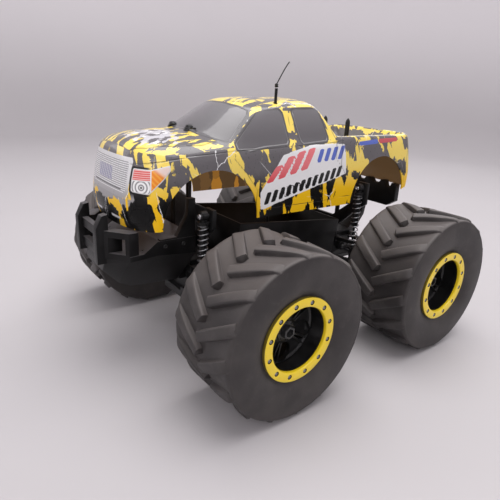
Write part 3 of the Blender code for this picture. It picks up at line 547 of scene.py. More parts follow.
def wheel_disc(hub):
    """The rim's face: five round windows, raised ribs on each spoke, and a boss ringed by eight small studs; rim()
    adds the hex nut.
    """
    disc = [
        (13.0, 6), (13.0, 34.9), (18.2, 34.9), (19.2, 33.2), (17.6, 31.6), (17.0, 24), (18.6, 12.5),
        (19.4, 11), (19.4, 6),
    ]
    mesh = mesh_of(turned(disc, "x", (0, 0, 0), steps=80, closed=True))
    windows = []
    for k in range(5):
        turn = 2 * math.pi * (k + 0.5) / 5 + math.pi / 2
        spot = (0, 23.6 * math.cos(turn), 23.6 * math.sin(turn))
        windows.append(turned(((8, 10.0), (24, 10.0)), "x", spot, steps=36))
    mesh = bevelled(cut(mesh, windows), 0.55, 2, 30)
    face = bmesh.new()
    face.from_mesh(mesh)
    parts = [face]
    for k in range(5):
        turn = 2 * math.pi * k / 5 + math.pi / 2
        for lean, low, high in ((-0.10, 13, 32.4), (0.10, 13, 32.4)):
            rib = mesh_of(block((16.5, -0.9, low), (19.6 if lean else 18.9, 0.9, high)))
            rib = bevelled(rib, 0.35, 2)
            rib.transform(Matrix.Rotation(turn + lean, 4, "X"))
            shape = bmesh.new()
            shape.from_mesh(rib)
            parts.append(shape)
    boss = [(13, 10.6), (20.4, 10.6), (21.2, 10.2), (21.6, 9.2), (21.6, 5.5), (13, 5.5)]
    parts.append(turned(boss, "x", (0, 0, 0), steps=48, closed=True))
    for k in range(8):
        turn = 2 * math.pi * k / 8
        spot = (0, 8.7 * math.cos(turn), 8.7 * math.sin(turn))
        parts.append(turned(((21, 0.7), (22.1, 0.7), (22.3, 0.4)), "x", spot, steps=10))
    for part in parts:
        bmesh.ops.translate(part, vec=hub, verts=part.verts)
    return parts


def rim(corner, side, end):
    hub = Vector((WHEEL_MID_X, end * HALF_WHEELBASE, AXLE_Z))
    barrel = [
        (-38.2, 37.4), (-37.2, 37.5), (-12, 37.5), (37.5, 37.5), (37.5, 32.4), (36.4, 32.4), (35.6, 33.4),
        (33.0, 34.2), (22, 34.4), (8, 34.4), (4, 33.6), (-36, 34.4), (-38.2, 34.8),
    ]
    parts = [turned(barrel, "x", hub, steps=80, closed=True)]
    parts += wheel_disc(hub)
    nut = [(17, 6.9), (25.6, 6.9), (26.4, 6.3), (26.4, 4.4), (20, 4.2), (17, 4.2)]
    parts.append((turned(nut, "x", hub, steps=6, closed=True), 1))
    parts.append((turned(((16, 3.9), (21, 3.9), (21.6, 3.3), (21.6, 1.5)), "x", hub, steps=20), 1))
    stub = [(-53.5, 4), (-52.5, 4.1), (-30, 4.1), (-29, 7.5), (-20, 7.5), (-18, 5.2), (13, 5.2)]
    parts.append(turned(stub, "x", hub, steps=24))
    name = corner + "_rim"
    finishes = [FINISH["rim"], FINISH["socket"]]
    obj = placed(name + "_moulding", joined(sided(parts, side)), BODY_OF[name], finishes)
    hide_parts(name)


def beadlock(corner, side, end):
    """The clamping ring: twelve screws, each in its own dimple."""
    hub = Vector((WHEEL_MID_X, end * HALF_WHEELBASE, AXLE_Z))
    outline = [
        (37.4, 41.0), (40.3, 41.0), (40.8, 40.8), (41.0, 40.3), (41.0, 32.8), (40.6, 32.0), (39.6, 31.6),
        (37.4, 31.5),
    ]
    dimples = []
    centres = []
    screws = []
    for k in range(12):
        turn = 2 * math.pi * (k + 0.5) / 12
        spot = (0, 35.9 * math.cos(turn), 35.9 * math.sin(turn))
        dimples.append(turned(((39.2, 2.25), (42.5, 2.45)), "x", spot, steps=20))
        centres.append(Vector(spot))
        head = [(38.6, 1.5), (40.5, 1.5), (40.75, 1.25), (40.75, 0.72), (39.9, 0.66), (39.9, 0.1)]
        screws.append(turned(head, "x", spot, steps=14))
    mesh = cut(mesh_of(turned(outline, "x", (0, 0, 0), steps=96, closed=True)), dimples)
    mesh = bevelled(mesh, 0.22, 2, 40)
    ring = bmesh.new()
    ring.from_mesh(mesh)
    parts = [(ring, 0)] + [(screw, 1) for screw in screws]
    for part, _ in parts:
        bmesh.ops.translate(part, vec=hub, verts=part.verts)
    whole = joined(sided(parts, side))
    for face in whole.faces:
        middle = face.calc_center_median() - Vector((0, hub.y, hub.z))
        in_dimple = min((middle - centre).yz.length for centre in centres) < 2.3
        # Faces on the ring's outer rim take the darker edge finish, painted shade.
        if face.material_index == 0 and (middle.yz.length > 40.7):
            face.material_index = 2
        # Walls and floors inside the dimples take the black finish: painted shade in the screw holes.
        elif face.material_index == 0 and in_dimple and abs(middle.x) < WHEEL_MID_X + 40.8:
            face.material_index = 3
    name = corner + "_beadlock_ring"
    finishes = [FINISH["ring"], FINISH["shaft"], FINISH["ring_edge"], FINISH["dark"]]
    obj = placed(name + "_dished", whole, BODY_OF[name], finishes)
    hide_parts(name)


# ---- springs, screws and hard parts -------------------------------------------------------
def spring(corner, side):
    name = corner + "_spring"
    low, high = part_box(name)
    middle = (low + high) / 2
    axis = (middle.x / MM, (middle.y - MID_Y) / MM)
    bottom, top = low.z / MM, high.z / MM
    wire = 0.62
    reach = (high.x - low.x) / 2 / MM - wire
    turns = 12
    steps = turns * 20
    points = []
    for k in range(steps + 1):
        t = k / steps
        turn = 2 * math.pi * turns * t * side
        rise = min(1, max(0, (t - 0.04) / 0.92))
        z = bottom + wire + (top - bottom - 2 * wire) * rise
        points.append((axis[0] + reach * math.cos(turn), axis[1] + reach * math.sin(turn), z))
    obj = placed(name + "_coil", tube(points, wire, 8), "chassis", [FINISH["spring"]], sharp=80)
    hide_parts(name)
    travel = next(joint for joint in frame["joints"] if joint["name"] == corner + "_shock_travel")
    reach_up = max(abs(value) for value in travel["range_m"])
    keep = 1 - reach_up / (high.z - low.z)
    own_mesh(obj)


def bullet_tops(bm):
    """The rear posts end in blunt points above the cargo bed."""
    _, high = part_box("rear_bulkhead")
    for drop in (5.2, 3.0, 1.3):
        plane = Vector((0, 0, high.z - drop * MM))
        geometry = bm.verts[:] + bm.edges[:] + bm.faces[:]
        bmesh.ops.bisect_plane(bm, geom=geometry, plane_co=plane, plane_no=(0, 0, 1))
    for vert in bm.verts:
        below_top = (high.z - vert.co.z) / MM
        if below_top > 5.3:
            continue
        side = 1 if vert.co.x > 0 else -1
        axis = Vector((side * REAR_POST[0] * MM, REAR_POST[1] * MM + MID_Y, vert.co.z))
        share = float(np.interp(below_top, (0, 1.3, 3.0, 5.2), (0.12, 0.5, 0.82, 1.0)))
        vert.co = axis + (vert.co - axis) * share


def softened(node, finish, width=0.5, segments=2, extra=()):
    """A CAD part with its moulded edges rounded, and its small details, in the part's own place."""
    source = frame["nodes"][node].data
    bm = bmesh.new()
    bm.from_mesh(source)
    bmesh.ops.remove_doubles(bm, verts=bm.verts, dist=0.00002)
    bmesh.ops.dissolve_limit(bm, angle_limit=math.radians(1), verts=bm.verts, edges=bm.edges)
    mesh = bevelled(mesh_of(bm), width * MM, segments, 30)
    whole = bmesh.new()
    whole.from_mesh(mesh)
    bpy.data.meshes.remove(mesh)
    for face in whole.faces:
        face.material_index = 0
    if node == "rear_bulkhead":
        bullet_tops(whole)
    if extra:
        added = mesh_of(joined(list(extra)))
        added.transform(Matrix.Translation((0, MID_Y, 0)) @ Matrix.Scale(MM, 4))
        whole.from_mesh(added)
        bpy.data.meshes.remove(added)
    finishes = [finish, FINISH["screw"], FINISH["dark"]]
    obj = placed(node + "_moulding", whole, BODY_OF[node], finishes, metres=True)
    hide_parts(node)
    return obj


def cap_screw(spot, axis, out, radius=2.7, height=2.4):
    """A cap screw's head, with a round socket in its top."""
    along = {"x": 0, "y": 1, "z": 2}[axis]
    start = spot[along]
    base = [0 if k == along else spot[k] for k in range(3)]
    head = [(start, radius), (start + out * height * 0.8, radius), (start + out * height, radius * 0.85)]
    head += [(start + out * height, radius * 0.55), (start + out * height * 0.4, radius * 0.5)]
    return turned(head, axis, base, steps=18)


# ---- body shell ---------------------------------------------------------------------------
# Cross sections from the grille to the cab's back: centre line, then five points outwards; the last
# one is the belt line along the side.
FRONT_SECTIONS = (
    ((0, -209.5, 224), (20, -209.2, 223.6), (35, -207.8, 222.6), (44, -204.3, 221.8), (53, -198, 220.6),
     (60.5, -188.5, 219)),
    ((0, -206.5, 233), (20, -206, 232.2), (35.5, -203.5, 230.6), (45, -199.5, 229.2), (54.5, -192, 227.3),
     (63.5, -181, 221.5)),
    ((0, -199, 239), (20.5, -198.5, 238), (37, -195.5, 235.6), (47, -191.5, 233.6), (57, -184, 230.2),
     (65.5, -171, 223)),
    ((0, -184, 242.8), (21, -183, 241.4), (39, -180, 238.4), (49.5, -176, 236), (60, -169, 231.3),
     (66.8, -157, 224.3)),
    ((0, -162, 244.6), (22, -161, 243.2), (41, -158, 239.8), (52, -154, 236.8), (61.5, -148, 232),
     (67, -143, 225.2)),
    ((0, -145, 245.2), (24, -143.5, 244), (44, -137, 241), (55, -132, 237.5), (62, -129, 232.8),
     (67.2, -127, 226.3)),
    ((0, -138.5, 244.6), (26, -135, 243.8), (48, -122.5, 240.8), (58, -113.5, 237.2), (63, -111, 233.2),
     (67.4, -110, 227.3)),
    ((0, -122, 254), (25.5, -119, 253), (48.5, -108, 249), (57, -102, 243.5), (63, -100, 233.8),
     (67.5, -100, 228.2)),
    ((0, -104, 265), (25, -101.5, 263.8), (46.5, -92, 259.5), (54, -86.5, 255), (62.8, -86, 234.3),
     (67.6, -86, 229.3)),
    ((0, -88, 274), (24.5, -86, 272.8), (44.5, -78.5, 268.2), (50.8, -72, 265.5), (62.5, -73, 234.5),
     (67.6, -73, 230.2)),
    ((0, -74, 277.4), (25, -72, 276.3), (45.5, -65, 270.8), (50.5, -60, 267), (62.4, -60, 234.6),
     (67.7, -60, 231)),
    ((0, -45, 279), (26, -45, 277.8), (46, -43, 272.6), (50.3, -42, 267.8), (62.4, -42, 234.7),
     (67.8, -42, 231.6)),
    ((0, -15, 279.6), (26.5, -15, 278.4), (46.5, -15, 274.2), (50.6, -15, 268.6), (62.5, -15, 235),
     (68, -15, 232.4)),
    ((0, 4, 279.2), (26.5, 4, 278.2), (46.8, 3, 275), (51.2, 3, 269.6), (62.8, 5, 235.4), (68, 5, 233)),
    ((0, 14, 277.4), (26, 14, 276.8), (46, 12, 274.2), (53, 13.5, 268), (63.2, 22, 236), (68, 22, 233.6)),
    ((0, 23, 262), (26, 23, 261.5), (46.5, 22.5, 260.5), (58, 25, 257), (64, 32, 237), (68, 33, 234.2)),
    ((0, 32, 241), (28, 32, 241), (50, 33, 241), (60, 36, 241.5), (65, 38, 239.5), (68, 40, 234.8)),
    ((0, 40, 241), (30, 40, 241), (56, 40, 241.2), (61, 40, 241.6), (65, 42, 240), (68, 44, 235)),
    ((0, 42, 223), (30, 42, 223), (55.5, 42.5, 223.5), (60.5, 46, 241.8), (65, 50, 240.2), (68, 52, 235.2)),
)
BED_STATIONS = (70, 100, 130, 152)
BED_SECTION = ((0, 222), (30, 222), (55.5, 222), (60.5, 242), (65.2, 240.5), (68, 235.5))
TAIL_SECTIONS = (
    ((0, 164, 222), (30, 164, 222), (55.5, 163, 222.5), (60.5, 160, 242), (65.2, 160, 240.5),
     (68, 159, 235.5)),
    ((0, 167, 243), (30, 167, 243), (56, 166.5, 243), (60.5, 165, 242.6), (65, 163.5, 241),
     (68, 162, 235.8)),
    ((0, 175, 243.5), (30, 174.8, 243.3), (52, 174, 243), (59, 173, 242.6), (64, 171, 241.5),
     (67.5, 168, 236)),
)
# Below the belt line: height and the (x, y) of the same six points, at the nose and at the tail.
NOSE_ROWS = (
    (205, ((0, -211.5), (20, -211), (35, -210), (45, -208.3), (55, -202), (63, -190.5))),
    (188, ((0, -214), (20, -213.6), (36, -212.4), (47, -210.5), (57, -203), (65, -190.5))),
    (173, ((0, -215.5), (20, -215), (37, -213.8), (48.5, -211.5), (58.5, -203.5), (66, -190.5))),
    (158.5, ((0, -213), (20, -212), (36, -209), (49, -205), (59, -199), (66, -188))),
)
TAIL_ROWS = (
    (221, ((0, 183), (30, 183), (52, 182.5), (60, 180.5), (65.5, 177), (68, 170.5))),
    (198, ((0, 190), (30, 190), (52, 189.5), (60, 187), (66, 183), (68.2, 172))),
    (184, ((0, 192), (30, 192), (52, 191.5), (60, 189), (66.5, 184), (68.2, 173))),
    (170, ((0, 190.5), (30, 190.5), (52, 190), (60, 187.5), (66, 183), (67.5, 172))),
)
# Flanks: height, and how far outside the belt line.
FLANK_ROWS = ((205, 0.3), (188, 0.5), (173, 0.2), (159, -0.5))


def shell_sections():
    bed = [[(x, y, z) for x, z in BED_SECTION] for y in BED_STATIONS]
    return [list(section) for section in FRONT_SECTIONS + tuple(bed) + TAIL_SECTIONS]


def shell_cage():
    """The top as a grid of section points, and a skirt of four rows hanging from its border."""
    sections = shell_sections()
    last = len(sections) - 1
    bm = bmesh.new()
    grid = []
    for section in sections:
        whole = [(-x, y, z) for x, y, z in section[:0:-1]] + section
        grid.append([bm.verts.new([value for value in point]) for point in whole])
    for one, two in zip(grid, grid[1:]):
        for k in range(10):
            bm.faces.new((one[k], one[k + 1], two[k + 1], two[k]))
    border = [(i, 10) for i in range(last)] + [(last, c) for c in range(10, 0, -1)]
    border += [(i, 0) for i in range(last, 0, -1)] + [(0, c) for c in range(10)]
    columns = []
    for i, c in border:
        way = 1 if c > 5 else -1
        nearest = abs(c - 5)
        column = [grid[i][c]]
        for level in range(4):
            if i in (0, last):
                z, row = (NOSE_ROWS if i == 0 else TAIL_ROWS)[level]
                x, y = row[nearest]
            else:
                x, y, _ = sections[i][5]
                z, out = FLANK_ROWS[level]
                x += out
            column.append(bm.verts.new((way * x, y, z)))
        columns.append(column)
    for one, two in zip(columns, columns[1:] + columns[:1]):
        for level in range(4):
            bm.faces.new((one[level], one[level + 1], two[level + 1], two[level]))
    bmesh.ops.recalc_face_normals(bm, faces=bm.faces)
    return bm


def shell_mesh():
    """The cage's smooth skin with its thickness, wheel arches and post holes."""
    cage = shell_cage()
    cage.normal_update()
    if sum(face.normal.z * face.calc_area() for face in cage.faces) < 0:
        bmesh.ops.reverse_faces(cage, faces=cage.faces)
    mesh = mesh_of(cage)
    for finish in SHELL_FINISHES:
        mesh.materials.append(finish)
    obj = linked(mesh, "cage")
    smooth = obj.modifiers.new("smooth", "SUBSURF")
    smooth.levels = 3
    thick = obj.modifiers.new("thick", "SOLIDIFY")
    thick.thickness = SHELL_THICKNESS
    thick.offset = -1
    thick.material_offset = 1
    mesh = applied(obj)
    cutters = [arch(-131, 158.5, 54.2, 54.2), arch(120, 160, 52, 55)]
    for x, y in (FRONT_POST, REAR_POST):
        cutters += [turned(((210, 4.2), (260, 4.2)), "z", (side * x, y, 0), 20) for side in (-1, 1)]
    cutters.append(turned(((260, 2.6), (290, 2.6)), "z", (*ANTENNA, 0), 16))
    return cut(mesh, cutters)


def arch(centre_y, centre_z, half_length, height):
    outline = []
    for k in range(49):
        turn = math.pi * k / 48
        outline.append((centre_y + half_length * math.cos(turn), centre_z + height * math.sin(turn)))
    outline += [(centre_y - half_length, 140), (centre_y + half_length, 140)]
    return prism(outline, "x", -90, 90)


def inside(points, outline):
    """Signed distance of each point to an outline, in mm, positive inside."""
    near = np.full(len(points), 1e9)
    crossings = np.zeros(len(points), int)
    for (ax, ay), (bx, by) in zip(outline, outline[1:] + outline[:1]):
        edge = np.array([bx - ax, by - ay])
        rel = points - (ax, ay)
        t = np.clip(rel @ edge / max(edge @ edge, 1e-9), 0, 1)
        near = np.minimum(near, np.hypot(*(rel - t[:, None] * edge).T))
        spans = (points[:, 1] < ay) != (points[:, 1] < by)
        at = ax + (points[:, 1] - ay) / (by - ay if by != ay else 1e-9) * (bx - ax)
        crossings += spans & (points[:, 0] < at)
    return np.where(crossings % 2 == 1, near, -near)


def within_any(points, outlines):
    best = np.full(len(points), -99.0)
    for outline in outlines:
        best = np.maximum(best, inside(points, list(outline)))
    return best


def off_lines(points, lines):
    """Distance of each point to the nearest of some open lines."""
    best = np.full(len(points), 99.0)
    for line in lines:
        for (ax, ay), (bx, by) in zip(line, line[1:]):
            edge = np.array([bx - ax, by - ay])
            rel = points - (ax, ay)
            t = np.clip(rel @ edge / max(edge @ edge, 1e-9), 0, 1)
            best = np.minimum(best, np.hypot(*(rel - t[:, None] * edge).T))
    return best


# Paint on the flanks, as (y, z) outlines: the yellow splashes and the dark ones.
FLANK_YELLOW = (
    ((-167.3, 229.5), (-157.3, 229), (-147.8, 209.6), (-150, 203), (-156, 203), (-161.6, 215.6), (-167, 220)),
    ((-115, 236), (-103, 244), (-95.6, 247), (-103.8, 236), (-106.5, 229), (-97, 210.5), (-85, 201.5),
     (-77.8, 187), (-80, 172), (-86, 182), (-91, 194), (-102, 208), (-110, 211), (-115, 224)),
    ((-95.3, 252), (-89.6, 256.5), (-86.6, 254), (-92.6, 249)),
    ((-39.6, 267), (-24.8, 267), (-23.7, 243.3), (-37.5, 245)),
    ((-36.7, 241), (-27, 238), (-33.5, 231.7), (-39.4, 230.6)),
    ((12, 273), (20, 272), (30, 252), (38, 238), (29, 237), (22, 246), (15, 262)),
    ((-10, 234.8), (14.9, 237), (39, 237), (27.8, 232), (2.8, 232.2)),
    ((-77.7, 234), (-66.2, 232), (-65.2, 222), (-61.4, 216.5), (-66.6, 214), (-70.5, 225)),
    ((-88, 206), (-82.8, 195.8), (-76.3, 202.3), (-77, 188.4), (-75, 157), (-81, 157), (-83, 187)),
    ((-28.5, 176), (-10.5, 178), (-16, 157), (-35, 157)),
    ((34.6, 195), (44.3, 195), (37.6, 160), (25, 160)),
    ((54, 196), (80, 188), (74, 163), (64, 158), (60, 168), (48, 174)),
    ((-20.8, 187), (-5.3, 188), (-6, 158), (-14, 158), (-26, 173)),
    ((64.7, 240), (92, 240), (91.5, 232), (79, 228.6), (92, 206), (86.4, 195.6), (55, 200), (47, 230),
     (56.6, 228), (60.8, 214.5), (73.8, 211), (70.6, 230)),
    ((130, 232), (148.4, 237), (171, 228), (166.4, 209), (160, 203.6), (138.5, 214)),
    ((154, 204), (161, 209.6), (168, 194), (176, 212), (182, 180), (161.6, 170), (162, 190)),
    ((-203, 190.4), (-194, 195), (-188.5, 178.7), (-180.2, 170.8), (-183.5, 160), (-191, 156),
     (-195, 173.2), (-199, 188)),
    ((-190.3, 199), (-181, 193.5), (-182.2, 191), (-188, 194)),
    ((-177, 198), (-169.5, 198.5), (-174.4, 186)),
)
FLANK_DARK = (
    ((39, 239), (65, 241), (68.7, 229), (54, 230.7), (36.8, 232.5)),
    ((83.6, 228), (100.8, 229), (130, 212), (96.4, 204)),
    ((151, 240), (168, 238), (173, 222), (163, 221)),
    ((155, 208), (172, 206), (177, 190), (168, 183)),
    ((-58, 160), (-40, 160), (-42, 176), (-60, 176)),
)
# Paint on the top, as (distance from the middle, y) outlines.
TOP_YELLOW = (
    ((36.8, -209), (42.6, -204), (49, -192.4), (53.5, -176), (62.4, -161), (63, -170), (60.5, -181),
     (56.5, -193), (48.3, -201), (40.6, -207)),
    ((51.9, -133), (59.5, -113.7), (62.7, -112), (64, -122), (64, -140), (54.4, -158)),
    ((18, -91), (32, -88), (40, -80), (30, -74), (20, -80)),
    ((42, -80), (50, -73), (47, -60), (41, -62)),
    ((24, -58), (36, -54), (30, -44), (22, -48)),
    ((30, -29), (46, -15), (46, 12), (30, 14), (20, -5)),
    ((14, -132), (30, -139), (52, -120), (50, -116), (34, -126), (14, -130)),
)
TOP_DARK = (
    ((-12, -180), (4, -150), (40, -160), (47, -174.5), (44.2, -190.4)),
    ((-34, -46), (4, -50), (6, 30), (-34, 30)),
    ((14, -30), (20, -30), (20, 32), (13, 32)),
    ((29, -22), (33, -22), (35, 34), (29, 34)),
    ((42, -8), (45, -8), (46, 30), (42, 30)),
)
SPLASH = (((-12, -182), (10, -150), (24, -154), (50, -157), (49, -174), (38, -192), (0, -196)),)
NOSE_YELLOW = (
    ((4, 182), (19.6, 187), (38, 182), (40, 173), (22, 173), (7.9, 175)),
    ((-17, 181), (-25, 187), (-41, 184), (-39, 178)),
    ((41, 219), (45, 214), (46, 203), (41.5, 205)),
    ((30, 165), (35, 165), (35, 160), (30, 160)),
)
SIDE_WINDOWS = (
    ((-103.1, 231.8), (-103.2, 236), (-88, 249), (-71, 264.4), (-66, 266.5), (-43.5, 267.2), (-41, 264),
     (-38.2, 238), (-40, 235.2), (-71.5, 233.4), (-85, 231.6)),
    ((-24.4, 266.4), (-21, 268), (8, 268.6), (11.5, 266), (19.5, 240), (17.5, 237.2), (-16, 235),
     (-18.6, 237)),
)
WINDSCREEN = (
    (-44, -81), (-24, -88.5), (0, -90.5), (24, -88.5), (44, -81), (47, -83), (56.8, -110), (55, -116),
    (50, -122), (35, -130), (0, -134.5), (-35, -130), (-50, -122), (-55, -116), (-56.8, -110), (-47, -83),
)
REAR_WINDOW = ((-43, 272), (43, 272), (48, 264), (51, 247), (48, 244.5), (-48, 244.5), (-51, 247), (-48, 264))
GRILLE = (
    (-38.5, 221.5), (38.5, 221.5), (40.5, 218), (40.5, 195), (37, 192), (-37, 192), (-40.5, 195),
    (-40.5, 218),
)
SURROUND = (
    (-42, 224.5), (42, 224.5), (44, 221), (44, 193), (40, 187.5), (-40, 187.5), (-44, 193), (-44, 221),
)
# The lamps and the fog lamp pocket wrap round the nose's corner: (0.6 * |x| + 0.8 * y, z).
LAMP = ((-135.6, 215.3), (-120.2, 214.8), (-103.8, 218.8), (-103.6, 214.4), (-109.6, 206.2), (-118.2, 197.4),
        (-121.7, 194.1), (-138, 195.6), (-137.4, 204.8))
FOG_POCKET = (
    (-135.4, 180.6), (-121.7, 182.2), (-119.6, 173.2), (-122, 167.3), (-138, 165.5), (-140.7, 170.7),
)
# How light the camouflage is along the truck, as (y, tone): below 0 mostly dark, above 0 mostly yellow.
FLANK_TONE = (
    (-215, -1), (-190, -3), (-160, -6), (-120, -7), (-95, -4), (-70, -2), (20, -1), (60, 0), (110, 0),
    (150, 1), (190, 1),
)
TOP_TONE = (
    (-215, 0.6), (-195, 0), (-150, -0.6), (-130, -1), (-95, 0.4), (-60, 0.1), (15, -0.2), (40, 0.2),
    (170, 0.2),
)
# The sticker on the doors: a white panel with three rows of plain slanted bars.
PANEL = (
    ((-75.5, 186), (-47, 224), (-3.1, 233), (46.5, 233), (50, 216), (53.7, 197.1), (-4, 184), (-73.3, 166.5)),
)
RED_BARS = (
    ((-70, 194), (-56, 212), (-45, 214.5), (-59, 196.5)),
    ((-54, 197.5), (-40, 221), (-29, 223.5), (-43, 200)),
    ((-38, 201), (-25, 225.5), (-14, 228), (-27, 203.5)),
    ((-22, 204.5), (-10, 228.5), (1, 230.5), (-11, 207)),
)
BLUE_BARS = tuple(
    ((2 + k * 11.2, 212.4 + k * 0.8), (7 + k * 11.2, 227.4 + k * 0.9), (14 + k * 11.2, 228.6 + k * 0.9),
     (9 + k * 11.2, 213.2 + k * 0.8))
    for k in range(4)
)
BLACK_BARS = tuple(
    ((-70 + k * 9.6, 171.6 + k * 2.02), (-66 + k * 9.6, 185.2 + k * 1.96),
     (-59.6 + k * 9.6, 186.4 + k * 1.96), (-63.6 + k * 9.6, 172.9 + k * 2.02))
    for k in range(12)
)
BED_STRIPE = ((71, 234.2), (71.4, 229.2), (107, 231), (106, 236.6))
BED_STRIPE_RED = ((107.4, 236.7), (108.4, 231.1), (144.7, 232.5), (145.6, 238))
FLANK_SEAMS = (
    ((-106, 232), (-109, 222), (-93, 206), (-80, 190), (-79, 160)),
    ((-33, 268), (-29, 236), (-30, 200), (-31, 164)),
    ((24, 258), (33, 237), (34, 216), (45, 206), (57, 192)),
    ((42, 240), (43, 222), (44, 200)),
    ((-205, 219), (-160, 226), (-110, 229.5), (-60, 230.8), (22, 233.4), (44, 235.6)),
    ((-79, 167), (40, 168.5), (66, 170)),
    ((168, 238), (171, 222), (172, 176)),
    ((-24, 231), (-18, 231.4)), ((-92, 228), (-84, 228.4)),
)
TOP_SEAMS = (
    ((0, -206), (34, -204), (46, -192), (53, -168), (57, -140), (54, -126)),
    ((16, -200), (22, -170), (27, -142)),
    ((60, 52), (60, 150), (54, 160), (0, 164)),
)


def shell_paint_values(mesh):
    """What the paint needs at each corner of each face: distances to the painted shapes, in mm."""
    count = len(mesh.loops)
    co = np.zeros(len(mesh.vertices) * 3)
    mesh.vertices.foreach_get("co", co)
    co = co.reshape(-1, 3)
    corner_vert = np.zeros(count, int)
    mesh.loops.foreach_get("vertex_index", corner_vert)
    totals = np.zeros(len(mesh.polygons), int)
    mesh.polygons.foreach_get("loop_total", totals)
    normals = np.zeros(len(mesh.polygons) * 3)
    mesh.polygons.foreach_get("normal", normals)
    n = np.repeat(normals.reshape(-1, 3), totals, axis=0)
    p = co[corner_vert]
    x, y, z = p.T
    ax = np.abs(x)
    away = 68 - ax
    top = (n[:, 2] > 0.62) & (ax < 63.5)
    nose = (n[:, 1] < -0.55) & ~top & (y < -180)
    flank = ~top & ~nose
    yz, xy, xz = np.stack((y, z), 1), np.stack((x, y), 1), np.stack((x, z), 1)
    axy = np.stack((ax, y), 1)
    uz = np.stack((0.6 * ax + 0.8 * y, z), 1)
    sided_x = np.where((flank & (np.abs(n[:, 0]) > 0.35)), 0, -99)

    base_flank = np.interp(y, *zip(*FLANK_TONE))
    base_flank = np.where((z < 197) & (y > -85) & (y < 60), 0.4, base_flank)
    base_top = np.interp(y, *zip(*TOP_TONE))
    tone = np.where(top, base_top, np.where(nose, np.where(z > 195, -1, -2.5), base_flank))
    yellow = np.where(top, within_any(axy, TOP_YELLOW), within_any(yz, FLANK_YELLOW))
    yellow = np.where(nose, within_any(xz, NOSE_YELLOW), yellow)
    tone = np.maximum(tone, np.minimum(yellow * 1.3, 7))
    dark = np.where(top, within_any(xy, TOP_DARK), within_any(yz, FLANK_DARK))
    tone = np.minimum(tone, np.maximum(-dark * 1.3, -7))

    facing_side = sided_x + within_any(yz, SIDE_WINDOWS)
    screen = np.where(n[:, 2] > 0.3, inside(xy, list(WINDSCREEN)), -99)
    rear = np.where((n[:, 1] > 0.4) & (y < 45) & (z > 240), inside(xz, list(REAR_WINDOW)), -99)
    sticker = np.where(ax > 60, 0, -99)
    front = np.where(nose | ((n[:, 1] < -0.3) & (y < -195)), 0, -99)
    corner = np.where((y < -165) & (ax > 36) & ~top, 0, -99)
    seam = np.where(top, off_lines(axy, TOP_SEAMS), off_lines(yz, FLANK_SEAMS))
    values = {
        "across": np.where(top, x, y + np.where(y < 0, -away, away)),
        "along": np.where(top, y, z),
        "on_top": top.astype(float),
        "tone": tone,
        "glass": np.maximum(np.maximum(facing_side, screen), rear),
        "grille": front + inside(xz, list(GRILLE)),
        "surround": front + inside(xz, list(SURROUND)),
        "lamp": corner + inside(uz, list(LAMP)),
        "lamp_u": uz[:, 0],
        "fog_pocket": corner + inside(uz, list(FOG_POCKET)),
        "panel": sticker + within_any(yz, PANEL),
        "red_slant": sticker + within_any(yz, RED_BARS),
        "blue_bar": sticker + np.maximum(within_any(yz, BLUE_BARS), inside(yz, list(BED_STRIPE))),
        "red_bar": sticker + inside(yz, list(BED_STRIPE_RED)),
        "black_bar": sticker + within_any(yz, BLACK_BARS),
        "splash": np.where(top, within_any(xy, SPLASH), -99),
        "seam": np.minimum(seam, 9),
    }
    for name, numbers in values.items():
        made = mesh.attributes.new(name, "FLOAT", "CORNER")
        made.data.foreach_set("value", np.asarray(numbers, np.float32))


